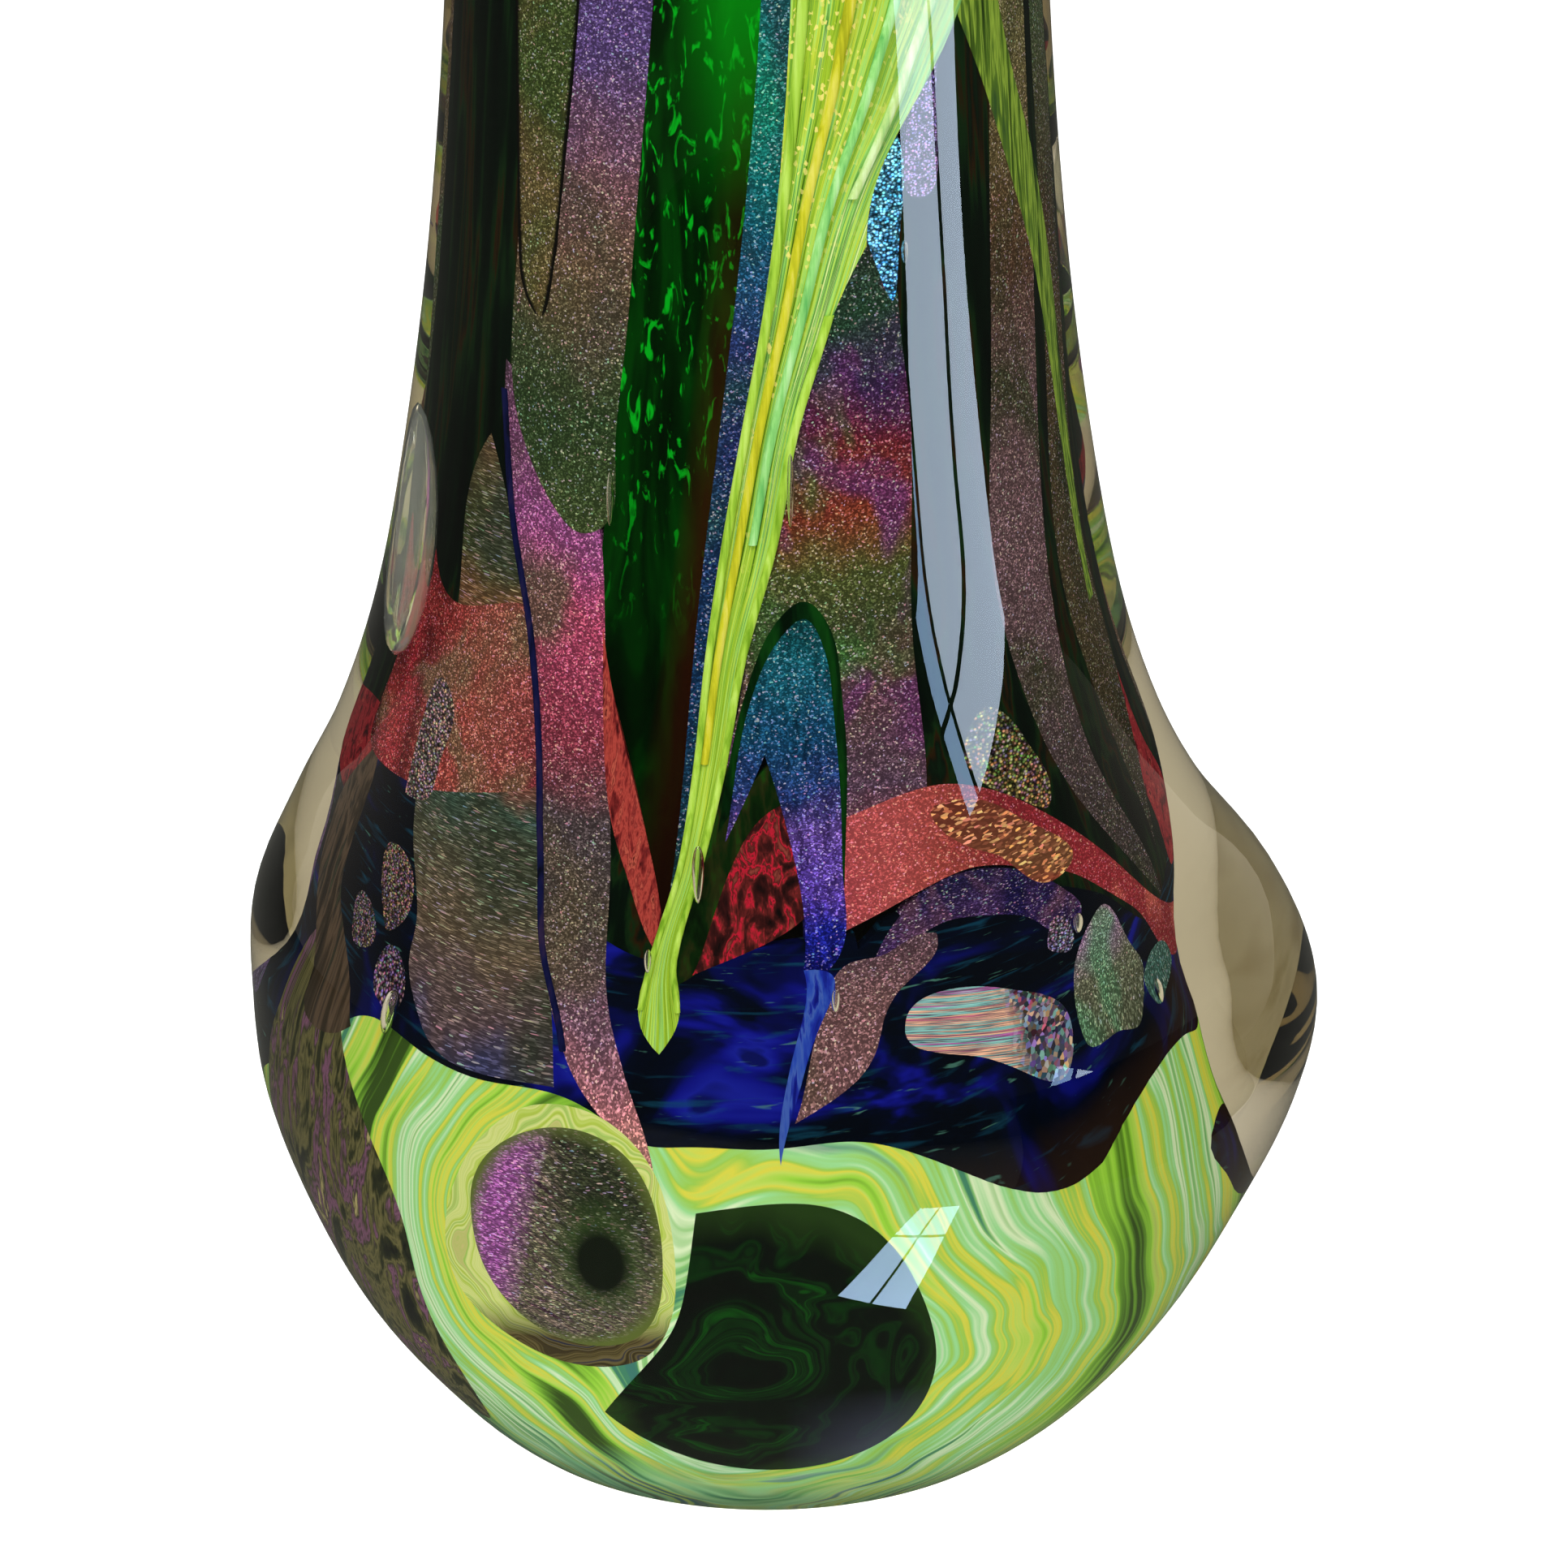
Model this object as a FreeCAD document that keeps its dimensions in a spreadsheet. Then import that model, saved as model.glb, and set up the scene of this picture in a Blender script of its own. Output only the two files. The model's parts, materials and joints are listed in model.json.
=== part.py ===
import FreeCAD, Part
import os
import Sketcher
from math import atan2, cos, degrees, pi, radians, sin
from BOPTools import SplitAPI

# Hand blown, thick cased art glass vase. The flat foot stands on z = 0, the neck
# rises along +Z and the front faces -Y. Millimetres throughout.
# A bearing is an angle about the neck axis: 0 is the front, +90 the +X side.

doc = FreeCAD.newDocument("vase")
sheet = doc.addObject("Spreadsheet::Sheet", "sizes")

# Outside of the clear casing: height, radius and sideways lean of each ring.
OUTSIDE = {
    "foot": (0, 33.5, 2.0),
    "foot_turn": (2, 38.5, 2.3),
    "low_curve": (10, 47, 2.9),
    "low_belly": (22, 56, 3.0),
    "mid_belly": (36, 63, 3.4),
    "full_belly": (50, 68.2, 4.2),
    "widest_ring": (62, 69.6, 4.6),
    "upper_belly": (74, 66.8, 2.4),
    "shoulder": (86, 59.4, 0.2),
    "shoulder_top": (98, 53, 0),
    "neck_root": (114, 47.5, 0),
    "low_neck": (135, 43.2, 0),
    "mid_neck": (160, 39.6, 0),
    "slim_neck": (190, 36.9, 0),
    "high_neck": (232, 34.8, 0),
    "flare": (268, 35.8, 0),
    "rim": (294, 40.8, 0),
}

# Outside of the coloured gather that the casing covers.
COLOUR = {
    "pad": (8, 23),
    "pad_edge": (9, 29),
    "pad_turn": (12, 34.6),
    "bowl_low": (20, 39.6),
    "bowl": (30, 41.2),
    "bowl_top": (42, 40.6),
    "waist": (56, 39.4),
    "waist_top": (70, 37.4),
    "throat_low": (88, 33.3),
    "throat": (104, 29.9),
    "stem_root": (126, 27),
    "stem_low": (155, 25),
    "stem": (188, 23.2),
    "stem_high": (232, 22.6),
    "bell": (268, 26.5),
    "bell_rim": (294, 34.6),
}

# The air space that was blown into the gather.
AIR = {
    "well": (46, 8),
    "well_edge": (47.5, 16),
    "well_turn": (51, 23),
    "well_side": (58, 28),
    "chamber": (70, 30),
    "chamber_top": (88, 27),
    "gullet": (104, 24),
    "tube_root": (126, 21.4),
    "tube_low": (155, 19.6),
    "tube": (188, 18),
    "tube_high": (232, 17.6),
    "mouth_bell": (268, 21.5),
    "mouth_rim": (294, 30),
}

SINGLE = {
    "layer_thickness": 1.6,
    "lip_height": 6,
}

row = 1


def size(alias, value):
    """Write one driving dimension and give it its name."""
    global row
    sheet.set("A%d" % row, alias)
    sheet.set("B%d" % row, str(value))
    sheet.setAlias("B%d" % row, alias)
    row += 1


for name, value in SINGLE.items():
    size(name, value)
for name, ring in OUTSIDE.items():
    size(name + "_height", ring[0])
    size(name + "_radius", ring[1])
    size(name + "_lean", ring[2])
for name, ring in list(COLOUR.items()) + list(AIR.items()):
    size(name + "_height", ring[0])
    size(name + "_radius", ring[1])
doc.recompute()


def rings_loft(label, rings, lean=False, shrink="", lift=None):
    """Loft a closed solid through level circles whose sizes are in the sheet."""
    circles = []
    for name in rings:
        circle = doc.addObject("Part::Circle", label + "_" + name)
        circle.setExpression("Radius", "sizes.%s_radius%s" % (name, shrink))
        height = "sizes.%s_height" % name
        if lift and name in lift:
            height += lift[name]
        circle.setExpression("Placement.Base.z", height)
        if lean:
            circle.setExpression("Placement.Base.x", "sizes.%s_lean" % name)
        circles.append(circle)
    loft = doc.addObject("Part::Loft", label)
    loft.Sections = circles
    loft.Solid = True
    loft.Ruled = False
    return loft


def cut(label, base, tool):
    """Take one solid out of another."""
    made = doc.addObject("Part::Cut", label)
    made.Base = base
    made.Tool = tool
    return made


ONE_LAYER = " - sizes.layer_thickness"
PAD_LIFT = {
    "pad": " + sizes.layer_thickness",
    "pad_edge": " + sizes.layer_thickness",
    "pad_turn": " + sizes.layer_thickness / 2",
}

outside = rings_loft("outside_form", OUTSIDE, lean=True)
colour_form = rings_loft("colour_form", COLOUR)
lining_form = rings_loft("lining_form", COLOUR, shrink=ONE_LAYER, lift=PAD_LIFT)
air_form = rings_loft("air_form", AIR)

clear_casing = cut("clear_casing", outside, colour_form)
inner_gather = cut("inner_gather", lining_form, air_form)
colour_shell = cut("colour_shell", colour_form, lining_form)
doc.recompute()

# The fire polished lip: a ring whose top is a half round as wide as the wall.
lip_body = doc.addObject("PartDesign::Body", "clear_lip")
lip_sketch = lip_body.newObject("Sketcher::SketchObject", "lip_section")
for feature in lip_body.Origin.OriginFeatures:
    if feature.Role == "XZ_Plane":
        lip_sketch.AttachmentSupport = (feature, [""])
lip_sketch.MapMode = "FlatFace"

inner_wall = AIR["mouth_rim"][1]
outer_wall = OUTSIDE["rim"][1]
rim_level = OUTSIDE["rim"][0]
half_wall = (outer_wall - inner_wall) / 2
side_level = rim_level + SINGLE["lip_height"] - half_wall


def flat(x, z):
    """Give a point of the lip sketch."""
    return FreeCAD.Vector(x, z, 0)


under = lip_sketch.addGeometry(
    Part.LineSegment(flat(inner_wall, rim_level), flat(outer_wall, rim_level)))
outer_side = lip_sketch.addGeometry(
    Part.LineSegment(flat(outer_wall, rim_level), flat(outer_wall, side_level)))
crown_circle = Part.Circle(
    flat(inner_wall + half_wall, side_level), FreeCAD.Vector(0, 0, 1), half_wall)
crown = lip_sketch.addGeometry(Part.ArcOfCircle(crown_circle, 0, pi))
inner_side = lip_sketch.addGeometry(
    Part.LineSegment(flat(inner_wall, side_level), flat(inner_wall, rim_level)))

START, END = 1, 2
SKETCH_ORIGIN = (-1, 1)
for kind, first, second in (
        ("Coincident", under, outer_side),
        ("Tangent", outer_side, crown),
        ("Tangent", crown, inner_side),
        ("Coincident", inner_side, under)):
    lip_sketch.addConstraint(Sketcher.Constraint(kind, first, END, second, START))
lip_sketch.addConstraint(Sketcher.Constraint("Horizontal", under))
lip_sketch.addConstraint(Sketcher.Constraint("Vertical", outer_side))
lip_sketch.addConstraint(Sketcher.Constraint("Vertical", inner_side))
for title, kind, first, second, value, rule in (
        ("mouth", "DistanceX", SKETCH_ORIGIN, (under, START), inner_wall,
         "sizes.mouth_rim_radius"),
        ("level", "DistanceY", SKETCH_ORIGIN, (under, START), rim_level,
         "sizes.rim_height"),
        ("wall", "DistanceX", (under, START), (under, END), 2 * half_wall,
         "sizes.rim_radius - sizes.mouth_rim_radius"),
        ("side", "DistanceY", (outer_side, START), (outer_side, END), side_level - rim_level,
         "sizes.lip_height - (sizes.rim_radius - sizes.mouth_rim_radius) / 2")):
    made = lip_sketch.addConstraint(Sketcher.Constraint(kind, *first, *second, value))
    lip_sketch.renameConstraint(made, title)
    lip_sketch.setExpression("Constraints." + title, rule)
lip_ring = lip_body.newObject("PartDesign::Revolution", "lip_ring")
lip_ring.Profile = lip_sketch
lip_ring.ReferenceAxis = (lip_sketch, ["V_Axis"])
lip_ring.Angle = 360
doc.recompute()

# Outlines of the glass pieces laid on the gather, as bearing and height. Each
# outline is a ring of runs: a run is a smooth curve, and two runs meet at a
# corner. An outline of one run closes smoothly on itself. The piece laid last
# is first in the list, and each piece stops at those before it.
PIECES = {
    "lime_trail": (
        ((18, 300), (14, 240), (10, 182), (4, 156), (-2, 139), (-8, 117), (-10.5, 98),
         (-14.5, 80), (-17.5, 71), (-16.5, 66), (-13.5, 64)),
        ((-13.5, 64), (-11, 67), (-12, 75), (-9, 86), (-4, 102), (2, 120), (8, 131),
         (13, 145), (20, 155), (30, 164)),
        ((30, 164), (37, 175), (50, 183), (64, 192), (72, 235), (74, 300)),
        ((74, 300), (18, 300)),
    ),
    "lime_thread": (
        ((50, 203), (61, 190), (70.5, 181), (81, 169.5), (92, 156.5), (98.5, 143), (102, 128),
         (104, 108)),
        ((104, 108), (108, 108)),
        ((108, 108), (109, 128), (108, 147), (103, 161), (95, 172), (87, 180.5), (79, 192),
         (74, 203)),
        ((74, 203), (50, 203)),
    ),
    "blue_trail": (
        ((9.5, 74), (13.5, 73.5), (12, 66.5), (8.5, 60.5), (6, 54.5)),
        ((6, 54.5), (6.5, 61), (9, 67), (9.5, 74)),
    ),
    "cyan_patch": (
        ((37, 179), (41, 174), (39, 164), (36.5, 157), (32, 162), (28.5, 168), (32, 175)),
    ),
    "violet_flash": (
        ((48, 199), (45, 190), (44, 179), (44, 169), (48, 169), (52, 177), (55, 188), (53, 198)),
    ),
    "teal_strip": (
        ((8, 300), (6, 230), (4, 194), (1, 175), (-3, 156), (-8, 134), (-11, 117), (-13, 92),
         (-14.5, 78)),
        ((-14.5, 78), (-8, 105), (0, 140), (8, 165), (14, 200), (22, 300)),
        ((22, 300), (8, 300)),
    ),
    "teal_arch": (
        ((-4, 91), (-2.6, 98), (-0.5, 106), (3, 112.6), (7.5, 117), (12.4, 119), (16, 116),
         (17.8, 109), (18.2, 101), (18, 93), (17.4, 85), (16, 76), (13.5, 73.5)),
        ((13.5, 73.5), (9.5, 74)),
        ((9.5, 74), (10, 80), (9, 87), (7, 94), (3.5, 102)),
        ((3.5, 102), (0.5, 97.5), (-4, 91)),
    ),
    "arch_rim": (
        ((-5.5, 92), (-4, 99), (-1.6, 107), (2, 114), (7, 119.2), (12.5, 121.2), (17.2, 118.6),
         (19.8, 111), (20.2, 103), (19.3, 95), (17.5, 84)),
        ((17.5, 84), (8, 102), (-5.5, 92)),
    ),
    "red_centre": (
        ((-9, 73.5), (-5.5, 82), (-2, 89), (2, 93.5), (8, 96)),
        ((8, 96), (11, 88), (10.5, 81)),
        ((10.5, 81), (4, 78), (-2, 76), (-9, 73.5)),
    ),
    "green_wedge": (
        ((3.5, 104), (9, 94), (1, 85), (-8, 74), (-14, 71)),
        ((-14, 71), (-13, 84), (-8, 97), (3.5, 104)),
    ),
    "purple_eye": (
        ((-43, 48), (-41, 52.5), (-35, 56), (-27, 57.3), (-19, 56), (-12.8, 51), (-11.5, 45),
         (-13.5, 38), (-18, 34.5), (-27, 33.5), (-36, 37), (-41, 42)),
    ),
    "eye_halo": (
        ((-48, 44), (-43, 53.5), (-34, 58.6), (-22, 58.6), (-13.5, 54.5), (-9.8, 47), (-10.8, 38),
         (-17, 31.5), (-27, 30), (-39, 33), (-46, 38)),
    ),
    "green_eye": (
        ((-6.5, 50.5), (3, 51.3), (12, 51), (19.5, 49), (25.5, 44), (29, 36), (28.5, 26),
         (22, 18.8), (11, 15.2), (-3, 15.2), (-15.5, 18.8), (-22.5, 23)),
        ((-22.5, 23), (-16, 30), (-10, 38), (-7.8, 44.5), (-6.5, 50.5)),
    ),
    "red_drape": (
        ((-32, 117), (-26, 104), (-21.5, 96), (-18, 89), (-15.5, 82.5), (-13.5, 74.5)),
        ((-13.5, 74.5), (-18, 79), (-22, 85.4), (-25.8, 91.5), (-28.6, 98.5), (-30.7, 108),
         (-32, 117)),
    ),
    "olive_strip": (
        ((-72, 300), (-71, 240), (-68, 182), (-64, 163), (-59, 155), (-55, 153.5), (-51, 159),
         (-48, 175), (-45, 195), (-46, 240), (-48, 300)),
        ((-48, 300), (-72, 300)),
    ),
    "violet_strip": (
        ((-68, 300), (-68, 200), (-64, 160), (-61, 141), (-55, 135.5), (-47, 130.5), (-39, 128),
         (-33, 129.5), (-31, 137), (-29.5, 151), (-27.5, 167), (-24, 192), (-22, 240),
         (-24, 300)),
        ((-24, 300), (-68, 300)),
    ),
    "violet_band": (
        ((-66, 147), (-60, 129), (-50, 113.5), (-45, 102), (-40, 87), (-35, 72), (-29, 63),
         (-20, 57.5), (-12.5, 51.5)),
        ((-12.5, 51.5), (-16, 59), (-21, 65), (-24, 74), (-25.5, 88), (-28, 99), (-30.3, 110),
         (-32, 120), (-35, 130), (-46, 139), (-66, 147)),
    ),
    "long_spot": (
        ((-79, 85.5), (-80.5, 94), (-76, 103), (-71, 101), (-70.5, 92), (-73.5, 86)),
    ),
    "tall_spot": (
        ((-77, 72), (-76.5, 78), (-72, 77.5), (-67.5, 71), (-71, 68)),
    ),
    "edge_spot": (
        ((-84, 66), (-82, 69.8), (-77, 68.5), (-75.5, 64.5), (-80, 63.2)),
    ),
    "low_spot": (
        ((-72, 64), (-68, 66.5), (-64, 64.5), (-63.5, 61.5), (-69, 61)),
    ),
    "red_veil": (
        ((-90, 118), (-73, 114), (-51, 117), (-44, 107), (-41, 96), (-56, 91.5), (-73, 88),
         (-86, 86.5), (-100, 86), (-101, 102)),
    ),
    "bronze_panel": (
        ((-70, 137), (-78, 126), (-76, 112), (-80, 98), (-76, 88), (-71, 79), (-64.5, 71.5),
         (-63.5, 65.5), (-57, 61.5), (-45, 60.2), (-30, 60.5)),
        ((-30, 60.5), (-35, 74), (-41, 92), (-47, 108), (-56, 122), (-64, 132), (-70, 137)),
    ),
    "brown_ribbon": (
        ((-96, 88), (-107, 78), (-110, 66), (-102, 60), (-90, 57.5), (-74, 59)),
        ((-74, 59), (-84, 62.2), (-91, 66), (-94, 76), (-96, 88)),
    ),
    "olive_ribbon": (
        ((-96, 60), (-104, 52), (-103, 42), (-94, 31), (-80, 22), (-66, 15.5), (-54, 13.5),
         (-50, 19), (-52.5, 28), (-55.5, 38), (-58, 45), (-66, 51), (-73, 56.5), (-79, 59.5)),
    ),
    "small_spot": (
        ((56.5, 70.5), (59.5, 72.5), (62.5, 70), (60.5, 66.3), (57, 67.5)),
    ),
    "gold_spot": (
        ((46, 97.5), (49, 102), (53, 103.5), (59, 101.5), (64, 96), (67, 90.5), (65, 87.5),
         (58, 90), (51, 93)),
    ),
    "gold_patch": (
        ((38, 93), (47, 92.3), (58, 87), (67, 78.5), (60, 77.5), (50, 83.5), (41, 87.5)),
    ),
    "pink_bend": (
        ((8, 58), (10.5, 63.5), (12.8, 69), (18, 74.5), (23, 74.8), (29, 76.5), (33.5, 76.3)),
        ((33.5, 76.3), (32, 73), (26.5, 70), (22.5, 66), (20.5, 62.5), (15, 60), (8, 58)),
    ),
    "violet_bend": (
        ((22, 74.8), (25, 78), (30, 81), (37, 83), (47, 82.5), (56, 80), (63, 75.5), (66, 71),
         (62, 68.8), (54, 73.5), (45, 76.5), (36, 77.5), (29, 76)),
    ),
    "streaked_oval": (
        ((26, 64.5), (29, 67.5), (38, 67.5), (48, 64.5), (55, 61.5), (58, 57.5), (55, 54.8),
         (48, 56.5), (38, 60), (29, 62)),
    ),
    "pink_triangle": (
        ((70, 69.5), (63, 65.5), (60, 60), (61.5, 55.5), (69, 54.5), (77, 53), (81.5, 55),
         (79, 60)),
    ),
    "teal_spot": (
        ((82, 55), (88, 55.5), (95, 53), (97, 50), (90, 50.5), (83, 52)),
    ),
    "bronze_strip": (
        ((77, 300), (77, 230), (75, 190), (70, 161), (66, 141), (61.5, 121), (65, 105), (70, 93),
         (79, 80), (97, 60)),
        ((97, 60), (91, 75), (84, 90), (82.5, 101), (83, 117), (88, 140), (94, 165), (97, 190),
         (97, 240), (95, 300)),
        ((95, 300), (77, 300)),
    ),
    "edge_strip": (
        ((104, 300), (104, 240), (102, 188), (100, 160), (93, 135), (89, 117), (92, 103),
         (96, 88), (99, 69)),
        ((99, 69), (107, 85), (112, 99), (109, 118), (114, 142), (121, 170), (122, 210),
         (120, 300)),
        ((120, 300), (104, 300)),
    ),
    "red_ribbon": (
        ((14, 92.5), (27, 94.8), (39, 95.5), (48, 93.8), (64, 86.5), (79, 75), (93, 62),
         (113, 52)),
        ((113, 52), (113, 46.5), (98, 50), (85, 62.5), (75, 71), (65, 77.5), (55, 81),
         (43, 83.5), (33, 82.5), (14, 78)),
        ((14, 78), (14, 92.5)),
    ),
    "red_edge": (
        ((100, 114), (97, 100), (97.5, 86), (104, 73), (112, 60), (121, 62), (115, 80),
         (110, 100)),
    ),
    "glitter_arch": (
        ((30, 165), (34.5, 163), (38.5, 153), (40, 144), (39, 130), (37, 115), (37, 100),
         (33, 88), (26, 80.5), (19, 76)),
        ((19, 76), (8, 84), (-6, 84), (-4, 102), (2, 120), (8, 131), (13, 145), (20, 157),
         (30, 165)),
    ),
    "green_window": (
        ((-20, 300), (-18, 240), (-24, 190), (-28, 165), (-30, 149), (-32.5, 133), (-33, 119),
         (-25, 103), (-18, 89), (-14, 76)),
        ((-14, 76), (-12, 95), (-9, 125), (-3, 156), (3, 185), (6, 230), (9, 300)),
        ((9, 300), (-20, 300)),
    ),
    "back_trail": (
        ((206, 300), (202, 232), (205, 172), (199, 122), (203, 84), (207, 77)),
        ((207, 77), (211, 85), (207, 122), (213, 172), (214, 232), (224, 300)),
        ((224, 300), (206, 300)),
    ),
    "back_arch": (
        ((166, 86), (168, 100), (172, 110), (178, 114), (185, 109), (189, 98), (188, 86),
         (182, 77), (171, 78)),
    ),
    "back_violet_strip": (
        ((152, 300), (150, 240), (151, 190), (147, 150), (150, 128), (158, 119), (168, 123),
         (173, 146), (172, 200), (176, 300)),
        ((176, 300), (152, 300)),
    ),
    "back_olive_strip": (
        ((228, 300), (226, 222), (231, 172), (230, 142), (236, 128), (243, 138), (245, 172),
         (244, 232), (247, 300)),
        ((247, 300), (228, 300)),
    ),
    "back_bronze_panel": (
        ((130, 119), (122, 103), (125, 86), (133, 73), (148, 68), (158, 77), (156, 96),
         (146, 112), (138, 120)),
    ),
    "back_purple_panel": (
        ((216, 74), (229, 76), (241, 71), (247, 61), (239, 53), (223, 55), (213, 63)),
    ),
    "back_oval": (
        ((139, 57), (149, 62), (162, 62), (169, 57), (161, 52), (146, 51.5)),
    ),
    "back_ribbon": (
        ((114, 60), (130, 72), (150, 86), (175, 93), (200, 92), (222, 86), (240, 89), (258, 92)),
        ((258, 92), (258, 82), (240, 77), (222, 74), (200, 80), (175, 82), (150, 75),
         (130, 61), (114, 52)),
        ((114, 52), (114, 60)),
    ),
    "back_eye": (
        ((166, 41), (180, 45), (196, 43), (206, 35), (204, 25), (191, 18.5), (174, 19.5),
         (164, 29)),
    ),
}

# Each ground is what the pieces leave free above a seam that goes all round.
GROUNDS = {
    "green_ground": (
        (-150, 82), (-120, 84), (-100, 86), (-80, 88), (-55, 88), (-30, 79), (-14, 75), (0, 77),
        (15, 78), (30, 80), (45, 81), (60, 77), (75, 70), (90, 60), (105, 64), (120, 74),
        (150, 82), (180, 84)),
    "cobalt_ground": (
        (-150, 49), (-120, 45), (-100, 50), (-77, 58.7), (-68, 60.2), (-57, 60.2), (-42, 59.8),
        (-30, 60), (-22, 58.6), (-15, 56.5), (-8, 56.4), (4, 56), (17, 55.8), (27, 53.7),
        (35, 51.4), (44, 49.5), (51, 48.8), (58, 48.8), (65, 48.9), (73, 49), (83, 48.4),
        (93, 46.5), (101, 44), (112, 42), (130, 44), (150, 49), (180, 52)),
}
BASE = "lime_base"

AXIS_SIDE = 10
GATHER_SIDE = 30
FAR_SIDE = 55
MESH_STEP = 0.4
CRUMB = 20
CURVE_STEPS = 24


def place(bearing, height, radius):
    """Give the point at a bearing and height, a distance out from the axis."""
    angle = radians(bearing)
    return FreeCAD.Vector(radius * sin(angle), -radius * cos(angle), height)


def knots(run, closed):
    """Space the points of a run by their distances apart on the gather."""
    places = [place(bearing, height, GATHER_SIDE) for bearing, height in run]
    if closed:
        places.append(places[0])
    spaced = [0]
    for last, following in zip(places, places[1:]):
        spaced.append(spaced[-1] + (following - last).Length)
    return spaced


def run_curve(run, radius, closed):
    """Draw one run of an outline as a smooth curve at one radius."""
    curve = Part.BSplineCurve()
    points = [place(bearing, height, radius) for bearing, height in run]
    curve.interpolate(points, PeriodicFlag=closed, Parameters=knots(run, closed))
    return curve.toShape()


def curtain(runs, closed):
    """Hang a wall through the gather along an outline, square to the axis."""
    faces = []
    for run in runs:
        near = run_curve(run, AXIS_SIDE, closed)
        far = run_curve(run, FAR_SIDE, closed)
        faces.append(Part.makeRuledSurface(near, far))
    return Part.makeShell(faces)


def bearing_of(point, middle):
    """Give a point's bearing, within half a turn of the given one."""
    bearing = degrees(atan2(point.x, -point.y))
    return (bearing - middle + 180) % 360 - 180 + middle


def outline_ring(runs, closed, middle):
    """List the points along an outline, close together."""
    ring = []
    for run in runs:
        for point in run_curve(run, FAR_SIDE, closed).discretize(CURVE_STEPS * len(run)):
            ring.append((bearing_of(point, middle), point.z))
    return ring


def within(ring, bearing, height):
    """Tell whether a place lies inside an outline."""
    inside = False
    for (left, low), (right, high) in zip(ring, ring[1:] + ring[:1]):
        if (low > height) != (high > height):
            if bearing < left + (right - left) * (height - low) / (high - low):
                inside = not inside
    return inside


def facets(solid):
    """List the middle and the area of each facet of a solid."""
    points, triangles = solid.tessellate(MESH_STEP)
    found = []
    for one, two, three in triangles:
        middle = (points[one] + points[two] + points[three]) / 3
        area = (points[two] - points[one]).cross(points[three] - points[one]).Length
        found.append((middle, area))
    return found


def split(shape, wall, chosen):
    """Cut a shape along a wall, and part the solids that the rule picks from the rest.

    Crumbs of glass too small to see are left out.
    """
    picked = []
    rest = []
    for solid in SplitAPI.slice(shape, [wall], "Split", 0).Solids:
        if solid.Volume < CRUMB:
            continue
        votes = 0
        for middle, area in facets(solid):
            votes += area if chosen(middle) else -area
        if votes > 0:
            picked.append(solid)
        else:
            rest.append(solid)
    return Part.makeCompound(picked), Part.makeCompound(rest)


def keep(label, shape):
    """Put a finished glass piece in the document."""
    piece = doc.addObject("Part::Feature", label)
    piece.Shape = shape.Solids[0] if len(shape.Solids) == 1 else shape
    piece.addProperty("App::PropertyLength", "Thickness")
    piece.setExpression("Thickness", "sizes.layer_thickness")
    return piece


laid = []
free = colour_shell.Shape
for label, runs in PIECES.items():
    closed = len(runs) == 1
    bearings = [bearing for run in runs for bearing, height in run]
    middle_bearing = (min(bearings) + max(bearings)) / 2
    ring = outline_ring(runs, closed, middle_bearing)
    shape, free = split(
        free, curtain(runs, closed),
        lambda point: within(ring, bearing_of(point, middle_bearing), point.z))
    laid.append(keep(label, shape))

for label, seam in GROUNDS.items():
    line = sorted(seam)
    heights = [(line[-1][0] - 360, line[-1][1])] + line + [(line[0][0] + 360, line[0][1])]

    def above(point):
        """Tell whether a place lies above the seam."""
        bearing = bearing_of(point, 0)
        for (left, low), (right, high) in zip(heights, heights[1:]):
            if left <= bearing <= right:
                return point.z > low + (high - low) * (bearing - left) / (right - left)
        return False

    shape, free = split(free, curtain((seam,), True), above)
    laid.append(keep(label, shape))
laid.append(keep(BASE, free))
doc.recompute()

os.makedirs("parts", exist_ok=True)
for made in doc.Objects:
    for fault in ("Invalid", "Error"):
        if fault in made.State:
            raise SystemExit(made.Label + " did not build: " + fault)
for piece in [clear_casing, inner_gather, lip_body] + laid:
    shape = piece.Shape
    if shape.isNull() or not shape.isValid() or not shape.Solids:
        raise SystemExit(piece.Label + " is not a sound solid")
    shape.exportStep("parts/%s.step" % piece.Label)
    volumes = ", ".join("%.1f" % solid.Volume for solid in shape.Solids)
    print("%-18s %s" % (piece.Label, volumes))
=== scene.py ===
import json
import math

import bpy
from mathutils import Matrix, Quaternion, Vector

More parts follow.
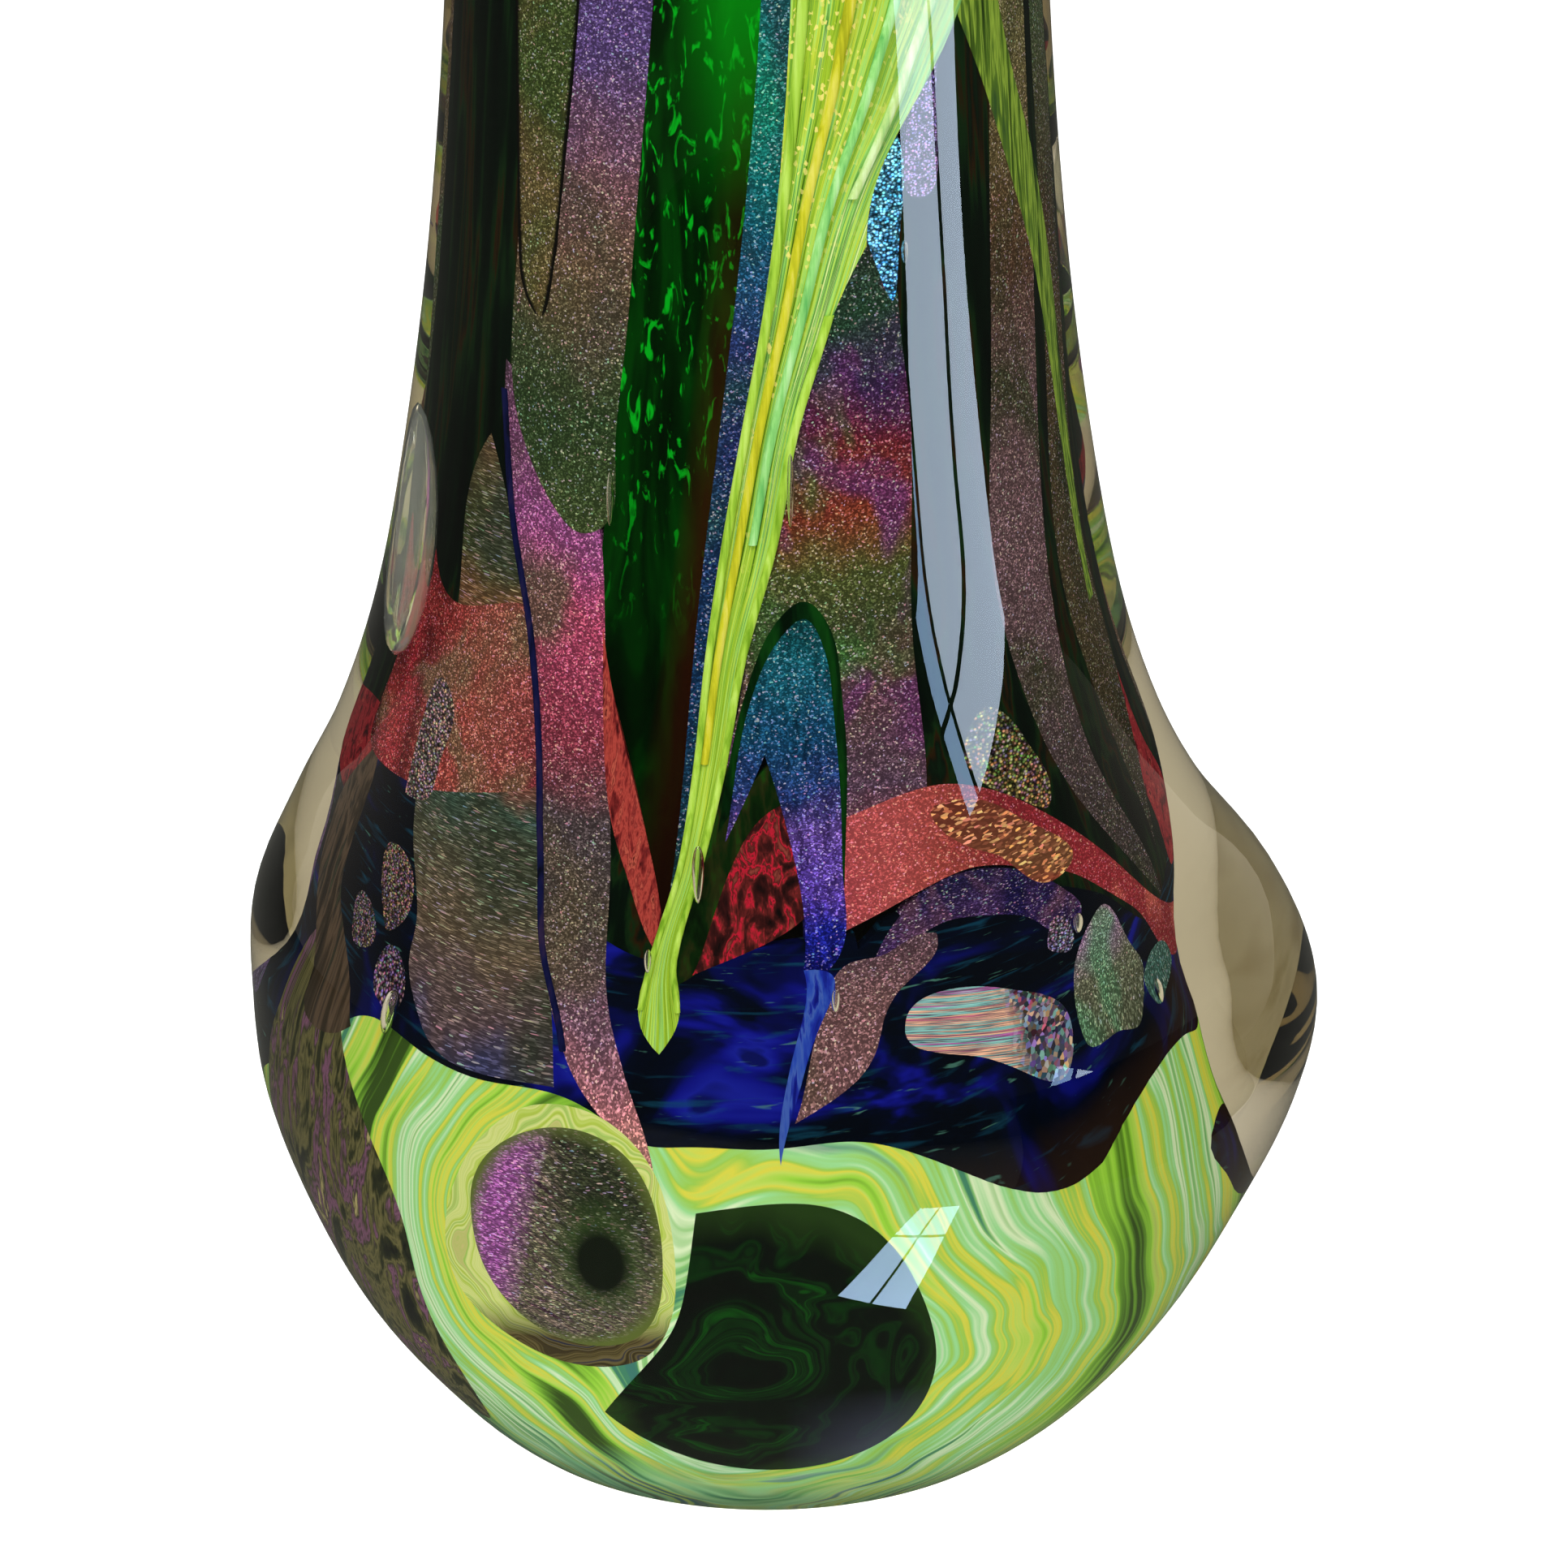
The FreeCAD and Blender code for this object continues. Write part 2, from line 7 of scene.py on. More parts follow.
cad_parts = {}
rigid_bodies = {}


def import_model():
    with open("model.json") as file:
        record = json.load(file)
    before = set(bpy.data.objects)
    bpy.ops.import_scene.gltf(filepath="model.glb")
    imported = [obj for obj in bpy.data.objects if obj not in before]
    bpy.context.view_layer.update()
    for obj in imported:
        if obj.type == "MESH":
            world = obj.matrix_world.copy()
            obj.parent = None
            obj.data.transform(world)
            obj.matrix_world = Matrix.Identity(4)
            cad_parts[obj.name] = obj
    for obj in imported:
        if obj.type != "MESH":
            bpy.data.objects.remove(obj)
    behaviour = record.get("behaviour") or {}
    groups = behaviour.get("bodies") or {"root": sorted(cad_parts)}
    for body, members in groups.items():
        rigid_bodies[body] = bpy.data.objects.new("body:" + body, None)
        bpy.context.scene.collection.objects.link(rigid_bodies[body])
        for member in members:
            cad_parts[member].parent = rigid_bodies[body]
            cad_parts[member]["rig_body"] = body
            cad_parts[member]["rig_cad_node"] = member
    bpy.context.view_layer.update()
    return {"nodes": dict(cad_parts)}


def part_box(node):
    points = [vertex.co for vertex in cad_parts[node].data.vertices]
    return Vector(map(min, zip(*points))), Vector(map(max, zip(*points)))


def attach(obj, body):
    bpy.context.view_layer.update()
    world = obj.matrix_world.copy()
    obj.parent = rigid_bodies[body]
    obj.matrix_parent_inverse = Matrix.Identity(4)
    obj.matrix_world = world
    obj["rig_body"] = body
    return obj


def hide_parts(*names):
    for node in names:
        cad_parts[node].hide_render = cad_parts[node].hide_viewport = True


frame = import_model()

MM = 0.001


# ---------------------------------------------------------------- studio

def aim(thing, target, roll=0):
    """Turn a camera or a lamp to face a point, rolled about its own axis."""
    facing = (Vector(target) - thing.location).to_track_quat("-Z", "Y")
    thing.rotation_euler = (facing @ Quaternion((0, 0, 1), math.radians(roll))).to_euler()


def soft_panel(name, place, target, width, height, power, colour=(1, 1, 1), roll=0):
    """Hang one soft studio panel."""
    panel = bpy.data.lights.new(name, "AREA")
    panel.shape = "RECTANGLE"
    panel.size = width
    panel.size_y = height
    panel.energy = power
    panel.color = colour
    made = bpy.data.objects.new(name, panel)
    bpy.context.collection.objects.link(made)
    made.location = place
    made.visible_camera = False
    aim(made, target, roll)
    return made


def reflection_only(panel):
    """Let a panel show in the gloss of the glass and light nothing else."""
    panel.visible_diffuse = False
    panel.visible_transmission = False
    panel.visible_volume_scatter = False


def window_panes(name, middle, facing, panes, roll):
    """Hang the panes of a window: side, rise, width, height, power and colour of each."""
    towards = facing @ Vector((0, 0, -1))
    for number, (side, rise, width, height, power, colour) in enumerate(panes):
        spot = middle + facing @ Vector((side, rise, 0))
        pane = soft_panel("%s_%d" % (name, number), spot, spot + towards, width, height, power,
                          colour, roll)
        reflection_only(pane)


WINDOW_BEARING = 63
WINDOW_LIFT = 4
WINDOW_DISTANCE = 1.1
WINDOW_ROLL = 54
TABLE_SPOT = Vector((0.048, -0.110, 0.003))
TABLE_ROLL = -39


def rolled(towards, roll):
    """Face along a direction, rolled about it."""
    return towards.to_track_quat("-Z", "Y") @ Quaternion((0, 0, 1), math.radians(roll))


def window():
    """Hang a tall window, which shows as the long highlight on the neck."""
    middle = Vector((0, 0, 0.15))
    turn = math.radians(WINDOW_BEARING)
    lift = math.radians(WINDOW_LIFT)
    far = middle + WINDOW_DISTANCE * Vector((math.cos(lift) * math.sin(turn),
                                             -math.cos(lift) * math.cos(turn), math.sin(lift)))
    panes = []
    for side in (-0.088, 0.082):
        panes.append((side, -0.174, 0.155, 0.452, 1.9, (0.66, 0.81, 1.0)))
        panes.append((side, 0.1075, 0.155, 0.075, 0.26, (0.42, 0.66, 1.0)))
    window_panes("window_pane", far, rolled(middle - far, WINDOW_ROLL), panes, WINDOW_ROLL)


def table_window():
    """Lay four small blue panes on the table, to show in the gloss low on the belly."""
    panes = [(side, rise, 0.0088, height, 0.3 * height, (0.5, 0.72, 1.0))
             for side in (-0.0048, 0.0048) for rise, height in ((-0.019, 0.034), (0.018, 0.036))]
    upward = rolled(Vector((0, 0, 1)), TABLE_ROLL)
    window_panes("table_pane", TABLE_SPOT, upward, panes, TABLE_ROLL)


def dark_flag():
    """Stand a black card beside the belly, so that the window shows on the neck alone."""
    bpy.ops.object.select_all(action="DESELECT")
    bpy.ops.mesh.primitive_cube_add(size=1, location=(0.128, -0.062, 0.046))
    card = bpy.context.object
    card.name = "dark_flag"
    card.scale = (0.002, 0.13, 0.092)
    card.rotation_euler = (0, 0, math.radians(-26))
    bpy.ops.object.transform_apply(location=True, rotation=True, scale=True)
    f = Finish("black_card")
    card.data.materials.append(f.done((0.01, 0.01, 0.01, 1), rough=1.0))
    card.visible_camera = False
    card.visible_diffuse = False
    card.visible_transmission = False
    card.visible_volume_scatter = False
    card.visible_shadow = False


# The camera: focal length in millimetres, distance in metres and tilt down in degrees.
FOCAL_LENGTH = 106.2
CAMERA_DISTANCE = 0.6
CAMERA_TILT = 20
LOOK_AT = Vector((0.0045, 0, 0.087))


def studio():
    """Set the camera, the pale floor and the soft lights."""
    lens = bpy.data.cameras.new("studio_camera")
    lens.lens = FOCAL_LENGTH
    lens.sensor_width = 36
    lens.clip_start = 0.01
    camera = bpy.data.objects.new("studio_camera", lens)
    bpy.context.collection.objects.link(camera)
    tilt = math.radians(CAMERA_TILT)
    camera.location = LOOK_AT + CAMERA_DISTANCE * Vector((0, -math.cos(tilt), math.sin(tilt)))
    aim(camera, LOOK_AT)
    bpy.context.scene.camera = camera

    bpy.ops.object.select_all(action="DESELECT")
    bpy.ops.mesh.primitive_circle_add(vertices=96, radius=4, fill_type="NGON")
    floor = bpy.context.object
    floor.name = "floor"
    floor.data.materials.append(floor_finish())

    world = bpy.data.worlds.new("soft_room")
    bpy.context.scene.world = world
    world.use_nodes = True
    room = Finish(world)
    back = room.tree.nodes["Background"]
    facing = room.add("TexCoord")
    split = room.add("SeparateXYZ")
    path = room.add("LightPath")
    room.feed(split.inputs[0], facing.outputs["Generated"])
    depth = room.spread(split.outputs["Y"], -1, 1)
    gloss = room.ramp(depth, ((0, (0.02, 0.02, 0.02, 1)), (0.5, (0.05, 0.05, 0.045, 1)),
                              (0.8, (0.22, 0.2, 0.17, 1)), (1, (0.5, 0.46, 0.38, 1))))
    seen = room.ramp(depth, ((0, (0.30, 0.27, 0.21, 1)), (0.5, (0.62, 0.57, 0.46, 1)),
                             (1, (0.95, 0.91, 0.82, 1))))
    light = room.mix(path.outputs["Is Glossy Ray"], (0.55, 0.55, 0.55, 1), gloss)
    light = room.mix(path.outputs["Is Transmission Ray"], light, seen)
    light = room.mix(path.outputs["Is Camera Ray"], light, (1, 1, 1, 1))
    room.feed(back.inputs["Color"], light)

    middle = (0, 0, 0.1)
    for panel in (
            soft_panel("overhead_panel", (-0.35, -0.85, 1.25), middle, 0.7, 0.7, 17),
            soft_panel("side_panel", (0.8, -0.3, 1.1), middle, 0.5, 0.5, 6)):
        panel.visible_glossy = False
    window()
    table_window()
    dark_flag()
    bpy.context.scene.view_settings.view_transform = "Standard"


# ---------------------------------------------------------------- places read from the frame

def edges(node, height):
    """Give the bearings of a CAD piece's left and right edges at a height in millimetres."""
    mesh = frame["nodes"][node].data
    turns = []
    for side in mesh.edges:
        low, high = (mesh.vertices[end].co / MM for end in side.vertices)
        if (low.z - height) * (high.z - height) < 0:
            spot = low.lerp(high, (height - low.z) / (high.z - low.z))
            turns.append(math.degrees(math.atan2(spot.x, -spot.y)))
    return min(turns), max(turns)


def at_share(node, share):
    """Give the height at a share of the way up a CAD piece."""
    low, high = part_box(node)
    return (low.z + share * (high.z - low.z)) / MM


def edge_line(node, side, shares):
    """Follow one edge of a CAD piece, as heights and bearings."""
    heights = [at_share(node, share) for share in shares]
    return [(height, edges(node, height)[side]) for height in heights]


TRAIL_SHARES = (0.02, 0.05, 0.1, 0.16, 0.22, 0.28, 0.34, 0.4, 0.46, 0.52, 0.6, 0.75, 0.96)
STRIP_SHARES = (0.01, 0.03, 0.07, 0.15, 0.3, 0.6, 0.97)


# ---------------------------------------------------------------- finishes

def tone(red, green, blue):
    """Turn a colour as the eye reads it, 0 to 255, into light."""
    light = []
    for part in (red, green, blue):
        part /= 255
        light.append(part / 12.92 if part < 0.04045 else ((part + 0.055) / 1.055) ** 2.4)
    return (*light, 1)


class Finish:
    """One finish, built up as a tree of nodes."""

    def __init__(self, holder):
        if isinstance(holder, str):
            holder = bpy.data.materials.new(holder)
            holder.use_nodes = True
            self.shader = holder.node_tree.nodes["Principled BSDF"]
        self.material = holder
        self.tree = holder.node_tree
        self.cache = {}

    def add(self, kind, **settings):
        """Add a node and set its own settings."""
        node = self.tree.nodes.new("ShaderNode" + kind)
        for key, value in settings.items():
            setattr(node, key, value)
        return node

    def feed(self, socket, value):
        """Give a socket a number, a colour or another node's output."""
        if isinstance(value, bpy.types.NodeSocket):
            self.tree.links.new(value, socket)
        else:
            socket.default_value = value

    def maths(self, operation, *values):
        """Work one sum on numbers or outputs."""
        node = self.add("Math", operation=operation)
        for socket, value in zip(node.inputs, values):
            self.feed(socket, value)
        return node.outputs[0]

    def spread(self, value, low, high, to_low=0.0, to_high=1.0):
        """Stretch a range of values over another, held at its ends."""
        node = self.add("MapRange")
        for socket, number in zip(node.inputs, (value, low, high, to_low, to_high)):
            self.feed(socket, number)
        return node.outputs[0]

    def mix(self, share, first, second, blend="MIX"):
        """Lay one colour over another."""
        node = self.add("Mix", data_type="RGBA", blend_type=blend)
        for socket, value in ((node.inputs[0], share), (node.inputs[6], first),
                              (node.inputs[7], second)):
            self.feed(socket, value)
        return node.outputs[2]

    def ramp(self, share, stops):
        """Run through (place, colour): a colour is read by the eye, or light if it has four parts."""
        node = self.add("ValToRGB")
        bar = node.color_ramp
        while len(bar.elements) < len(stops):
            bar.elements.new(0.5)
        for mark, (place, colour) in zip(bar.elements, stops):
            mark.position = place
            mark.color = colour if len(colour) == 4 else tone(*colour)
        self.feed(node.inputs[0], share)
        return node.outputs[0]

    def curve(self, value, low, high, points):
        """Read a curve given as (value, result), results from -100 to 100."""
        node = self.add("FloatCurve")
        line = node.mapping.curves[0]
        scaled = [((at - low) / (high - low), (result + 100) / 200) for at, result in points]
        while len(line.points) < len(scaled):
            line.points.new(0.5, 0.5)
        for mark, place in zip(line.points, scaled):
            mark.location = place
        node.mapping.update()
        self.feed(node.inputs["Value"], self.spread(value, low, high))
        return self.maths("SUBTRACT", self.maths("MULTIPLY", node.outputs[0], 200), 100)

    def place(self):
        """Give X, Y and Z in millimetres."""
        if "place" not in self.cache:
            spot = self.add("TexCoord")
            split = self.add("SeparateXYZ")
            self.feed(split.inputs[0], spot.outputs["Object"])
            self.cache["place"] = [self.maths("MULTIPLY", out, 1000) for out in split.outputs]
        return self.cache["place"]

    def bearing(self):
        """Give the bearing in degrees: 0 at the front, positive towards +X."""
        if "bearing" not in self.cache:
            x, y = self.place()[:2]
            turn = self.maths("ARCTAN2", x, self.maths("MULTIPLY", y, -1))
            self.cache["bearing"] = self.maths("MULTIPLY", turn, 180 / math.pi)
        return self.cache["bearing"]

    def height(self):
        """Give the height in millimetres."""
        return self.place()[2]

    def vector(self, x, y, z):
        """Join three values into one vector."""
        node = self.add("CombineXYZ")
        for socket, value in zip(node.inputs, (x, y, z)):
            self.feed(socket, value)
        return node.outputs[0]

    def stretched(self, across, along):
        """Give the place in millimetres, scaled across the neck and along it."""
        x, y, z = self.place()
        return self.vector(self.maths("MULTIPLY", x, across), self.maths("MULTIPLY", y, across),
                           self.maths("MULTIPLY", z, along))

    def noise(self, where, scale=1.0, detail=3.0, distortion=0.0, rough=0.5):
        """Give cloudy variation from 0 to 1."""
        node = self.add("TexNoise")
        self.feed(node.inputs["Vector"], where)
        node.inputs["Scale"].default_value = scale
        node.inputs["Detail"].default_value = detail
        node.inputs["Roughness"].default_value = rough
        node.inputs["Distortion"].default_value = distortion
        return node.outputs["Fac"]

    def flakes(self, size, across=1.0, along=1.0):
        """Scatter flakes of a size in millimetres: two random values and the way to the middle."""
        node = self.add("TexVoronoi")
        self.feed(node.inputs["Vector"], self.stretched(across, along))
        node.inputs["Scale"].default_value = 1 / size
        split = self.add("SeparateColor")
        self.feed(split.inputs[0], node.outputs["Color"])
        return split.outputs[0], split.outputs[1], node.outputs["Distance"]

    def scaled(self, colour, strength):
        """Brighten or darken a colour by a factor."""
        return self.mix(1, colour, self.vector(strength, strength, strength), "MULTIPLY")

    def done(self, colour, rough=0.5):
        """Put the colour on the glass, which is sealed in clear glass and so has no gloss."""
        self.feed(self.shader.inputs["Base Color"], colour)
        self.shader.inputs["Roughness"].default_value = rough
        self.shader.inputs["Specular IOR Level"].default_value = 0
        return self.material


def evenly(colours):
    """Space colours evenly along a ramp."""
    return [(number / (len(colours) - 1), colour) for number, colour in enumerate(colours)]


def as_shares(stops):
    """Turn a ramp's places into shares of the way from its first to its last."""
    low = stops[0][0]
    high = stops[-1][0]
    return [((at - low) / (high - low), colour) for at, colour in stops]


GLINTS = (tone(255, 214, 190), tone(190, 170, 255), tone(255, 240, 190), tone(150, 235, 190),
          tone(255, 150, 190), tone(150, 200, 255))


def glitter(f, colour, size=0.19, shine=0.4, grain=1.0, across=1.0, along=1.0, rare=0.9,
            glints=GLINTS):
    """Sprinkle a colour with fine foil: dark glass between bright grains, a few of them tinted."""
    glow, kind = f.flakes(size, across, along)[:2]
    bright = f.maths("POWER", glow, 4)
    strength = f.maths("MULTIPLY_ADD", bright, 2.9 * grain, 1 - 0.52 * grain)
    colour = f.scaled(colour, strength)
    share = f.maths("MULTIPLY", f.spread(glow, rare, 1.0), shine)
    return f.mix(share, colour, f.ramp(kind, evenly(glints)))


def floor_finish():
    """Plain pale matt floor, which shows dim and warm through and in the glass."""
    f = Finish("pale_floor")
    cloud = f.noise(f.stretched(0.002, 0.002), 1, 2)
    colour = f.mix(cloud, (0.94, 0.94, 0.935, 1), (0.96, 0.96, 0.955, 1))
    path = f.add("LightPath")
    glow = f.mix(path.outputs["Is Camera Ray"], (0, 0, 0, 1), (0.5, 0.5, 0.5, 1))
    glow = f.mix(path.outputs["Is Transmission Ray"], glow, (0.46, 0.43, 0.35, 1))
    f.feed(f.shader.inputs["Emission Color"], glow)
    f.shader.inputs["Emission Strength"].default_value = 1
    colour = f.mix(path.outputs["Is Glossy Ray"], colour, (0.08, 0.08, 0.07, 1))
    colour = f.mix(path.outputs["Is Transmission Ray"], colour, (0.24, 0.22, 0.17, 1))
    return f.done(colour, rough=0.9)


GLASS_BENDING = 1.54


def clear_glass():
    """Thick clear casing glass, faintly warm where it is deep."""
    f = Finish("clear_casing_glass")
    glass = f.shader
    glass.inputs["Base Color"].default_value = (1, 1, 1, 1)
    glass.inputs["Roughness"].default_value = 0
    glass.inputs["IOR"].default_value = GLASS_BENDING
    glass.inputs["Transmission Weight"].default_value = 1
    open_way = f.add("BsdfTransparent")
    path = f.add("LightPath")
    either = f.maths("MAXIMUM", path.outputs["Is Shadow Ray"], path.outputs["Is Diffuse Ray"])
    pick = f.add("MixShader")
    f.feed(pick.inputs[0], either)
    f.feed(pick.inputs[1], glass.outputs[0])
    f.feed(pick.inputs[2], open_way.outputs[0])
    depth = f.add("VolumeAbsorption")
    depth.inputs["Color"].default_value = (0.62, 0.54, 0.32, 1)
    depth.inputs["Density"].default_value = 9
    out = f.tree.nodes["Material Output"]
    f.feed(out.inputs["Surface"], pick.outputs[0])
    f.feed(out.inputs["Volume"], depth.outputs[0])
    return f.material


def bubble_air(name, clearness):
    """Air trapped in the casing glass, silvery where it is less clear."""
    f = Finish(name)
    f.shader.inputs["Base Color"].default_value = (0.95, 1, 0.94, 1)
    f.shader.inputs["Roughness"].default_value = 0
    f.shader.inputs["IOR"].default_value = 1 / GLASS_BENDING
    f.shader.inputs["Transmission Weight"].default_value = clearness
    return f.material


def foil(name, stops, by="height", second=None, cloud=14, third=None, **sparkle):
    """Foil glass whose colour drifts along the piece, with clouds of other colours in it."""
    f = Finish(name)
    along_piece = f.height() if by == "height" else f.bearing()
    low = stops[0][0]
    high = stops[-1][0]
    drift = f.maths("MULTIPLY", f.maths("SUBTRACT", f.noise(f.stretched(0.14, 0.1)), 0.5),
                    min((high - low) * 0.35, 14))
    share = f.spread(f.maths("ADD", along_piece, drift), low, high)
    colour = f.ramp(share, as_shares(stops))
    if second:
        patch = f.spread(f.noise(f.stretched(1 / cloud, 0.6 / cloud), 1, 3, 0.6), 0.52, 0.64)
        colour = f.mix(f.maths("MULTIPLY", patch, 0.85), colour, second)
    if third:
        x, y, z = f.place()
        where = f.vector(f.maths("ADD", x, 40), y, f.maths("MULTIPLY", z, 0.6))
        patch = f.spread(f.noise(where, 1.3 / cloud, 3, 0.6), 0.54, 0.64)
        colour = f.mix(f.maths("MULTIPLY", patch, 0.8), colour, third)
    return f.done(glitter(f, colour, **sparkle))


def streaks(name, stops, across=1.0, along=0.05, distort=0.6, fine=0.25, scale=0.5):
    """Streaked glass: threads of colour drawn out along one direction."""
    f = Finish(name)
    broad = f.noise(f.stretched(across, along), scale, 4, distort)
    thread = f.noise(f.stretched(across * 4, along * 3), scale, 2, distort)
    share = f.maths("MULTIPLY_ADD", f.maths("SUBTRACT", thread, 0.5), fine, broad)
    return f.done(f.ramp(f.spread(share, 0.3, 0.7), stops))


# The round forms on the belly: bearing and height of each middle, half width, half height.
GREEN_EYE = (2, 31, 27, 18.5)
GREEN_EYE_FLOW = (4, 33, 27, 18)
PURPLE_EYE = (-27, 45.5, 16, 12)
PURPLE_EYE_FLOW = (-27, 45, 17, 13)
PUPIL = (-21, 44.5, 4.5, 3.6)
HALO = (-28, 44.5, 18, 14)


def eye_distance(f, bearing, height, half_width, half_height):
    """Give how far a place is from an eye's middle, 1 at its rim."""
    over = f.maths("DIVIDE", f.maths("SUBTRACT", f.bearing(), bearing), half_width)
    rise = f.maths("DIVIDE", f.maths("SUBTRACT", f.height(), height), half_height)
    return f.maths("SQRT", f.maths("ADD", f.maths("MULTIPLY", over, over),
                                   f.maths("MULTIPLY", rise, rise)))


def lime_swirl():
    """Lime base glass whose streaks flow round the two eyes."""
    f = Finish("lime_swirl")
    green = eye_distance(f, *GREEN_EYE_FLOW)
    purple = eye_distance(f, *PURPLE_EYE_FLOW)
    rings = f.maths("SMOOTH_MIN", green, purple, 0.5)
    wave = f.noise(f.stretched(0.035, 0.045), 1, 2)
    flow = f.maths("MULTIPLY_ADD", wave, 0.8, rings)
    turn = f.maths("MULTIPLY", f.bearing(), 0.02)
    soft = f.noise(f.vector(f.maths("MULTIPLY", flow, 2.6), turn, 0.0), 1, 1, 0.5)
    line = f.noise(f.vector(f.maths("MULTIPLY", flow, 7), turn, 4.0), 1, 2, 0.5)
    fine = f.noise(f.vector(f.maths("MULTIPLY", flow, 22), turn, 9.0), 1, 2)
    share = f.maths("ADD", f.maths("MULTIPLY", soft, 0.55), f.maths("MULTIPLY", line, 0.3))
    share = f.maths("MULTIPLY_ADD", fine, 0.15, share)
    colour = f.ramp(f.spread(share, 0.37, 0.63), (
        (0, (50, 76, 26)), (0.14, (96, 146, 44)), (0.3, (148, 208, 66)),
        (0.42, (186, 214, 96)), (0.5, (212, 210, 76)), (0.58, (150, 200, 84)),
        (0.7, (150, 216, 150)), (0.8, (214, 236, 200)), (0.88, (134, 196, 120)),
        (1, (66, 130, 104))))
    thin = f.spread(line, 0.62, 0.7)
    colour = f.mix(f.maths("MULTIPLY", thin, 0.6), colour, tone(54, 110, 116))
    low = f.spread(f.maths("ADD", f.height(), f.maths("MULTIPLY", wave, 10)), 22, 14)
    blues = f.ramp(f.spread(line, 0.35, 0.65), (
        (0, (30, 70, 96)), (0.3, (80, 150, 120)), (0.6, (150, 210, 170)),
        (0.8, (176, 196, 90)), (1, (46, 96, 120))))
    colour = f.mix(f.maths("MULTIPLY", low, 0.8), colour, blues)
    turned = f.maths("ABSOLUTE", f.bearing())
    behind = f.spread(turned, 118, 140)
    smoke = f.ramp(f.spread(share, 0.35, 0.65), (
        (0, (176, 168, 132)), (0.5, (206, 198, 160)), (1, (190, 184, 140))))
    colour = f.mix(behind, colour, smoke)
    return f.done(colour)


def lime_trail_glass():
    """Lime trail glass, its threads drawn together down the neck."""
    f = Finish("lime_trail_glass")
    v = f.height()
    left = f.curve(v, 60, 300, edge_line("lime_trail", 0, TRAIL_SHARES))
    right = f.curve(v, 60, 300, edge_line("lime_trail", 1, TRAIL_SHARES))
    wide = f.maths("SUBTRACT", right, left)
    over = f.maths("DIVIDE", f.maths("SUBTRACT", f.bearing(), left), wide)
    line = f.noise(f.vector(f.maths("MULTIPLY", over, 12), f.maths("MULTIPLY", v, 0.01), 0.0),
                   1, 5, 0.1, 0.65)
    colour = f.ramp(f.spread(line, 0.34, 0.66), (
        (0, (30, 60, 14)), (0.16, (90, 136, 34)), (0.32, (164, 196, 50)),
        (0.46, (104, 160, 56)), (0.58, (190, 206, 60)), (0.7, (150, 212, 110)),
        (0.84, (70, 126, 40)), (1, (210, 232, 150))))
    high = f.maths("MULTIPLY", f.spread(v, 165, 215), f.spread(over, 0.4, 0.9))
    colour = f.mix(f.maths("MULTIPLY", high, 0.7), colour, tone(120, 190, 120))
    glow = f.flakes(0.34, 1, 0.6)[0]
    spark = f.maths("MULTIPLY", f.spread(glow, 0.86, 0.95), f.spread(v, 118, 150))
    spark = f.maths("MULTIPLY", spark, f.spread(over, 0.8, 0.4, 0.1, 0.8))
    colour = f.mix(spark, colour, tone(240, 224, 130))
    return f.done(colour)


def cobalt_glass():
    """Cobalt ground, nearly black, with drawn out blue and teal streaks."""
    f = Finish("cobalt_ground_glass")
    swirl = f.noise(f.stretched(0.05, 0.11), 1, 3, 0.9)
    thread = f.noise(f.stretched(0.10, 0.95), 1, 4, 0.7)
    front = f.maths("MULTIPLY", f.spread(f.bearing(), 22, 4), f.spread(f.bearing(), -40, -20))
    share = f.maths("MULTIPLY_ADD", front, 0.12, swirl)
    colour = f.ramp(f.spread(share, 0.49, 0.74), (
        (0, (3, 7, 16)), (0.3, (3, 8, 26)), (0.52, (6, 10, 66)),
        (0.74, (14, 18, 124)), (0.9, (20, 28, 140)), (1, (10, 16, 84))))
    streak = f.spread(thread, 0.57, 0.72)
    colour = f.mix(f.maths("MULTIPLY", streak, 0.65), colour, tone(14, 66, 92))
    pale = f.spread(f.noise(f.stretched(0.2, 1.6), 1, 3, 0.5), 0.66, 0.74)
    colour = f.mix(f.maths("MULTIPLY", pale, 0.7), colour, tone(70, 120, 110))
    seam = f.spread(f.maths("MULTIPLY_ADD", swirl, 5, f.height()), 55, 51)
    side = f.spread(f.bearing(), 12, 30)
    colour = f.mix(f.maths("MULTIPLY", f.maths("MULTIPLY", seam, side), 0.5), colour,
                   tone(50, 34, 20))
    return f.done(colour)


def green_ground_glass():
    """Bottle green ground, nearly black, with upright streaks."""
    f = Finish("bottle_green_glass")
    broad = f.noise(f.stretched(0.35, 0.014), 1, 4, 0.3)
    colour = f.ramp(f.spread(broad, 0.32, 0.7), (
        (0, (2, 6, 4)), (0.45, (4, 15, 7)), (0.62, (12, 34, 12)),
        (0.72, (34, 20, 6)), (0.85, (6, 16, 8)), (1, (8, 26, 12))))
    return f.done(colour)


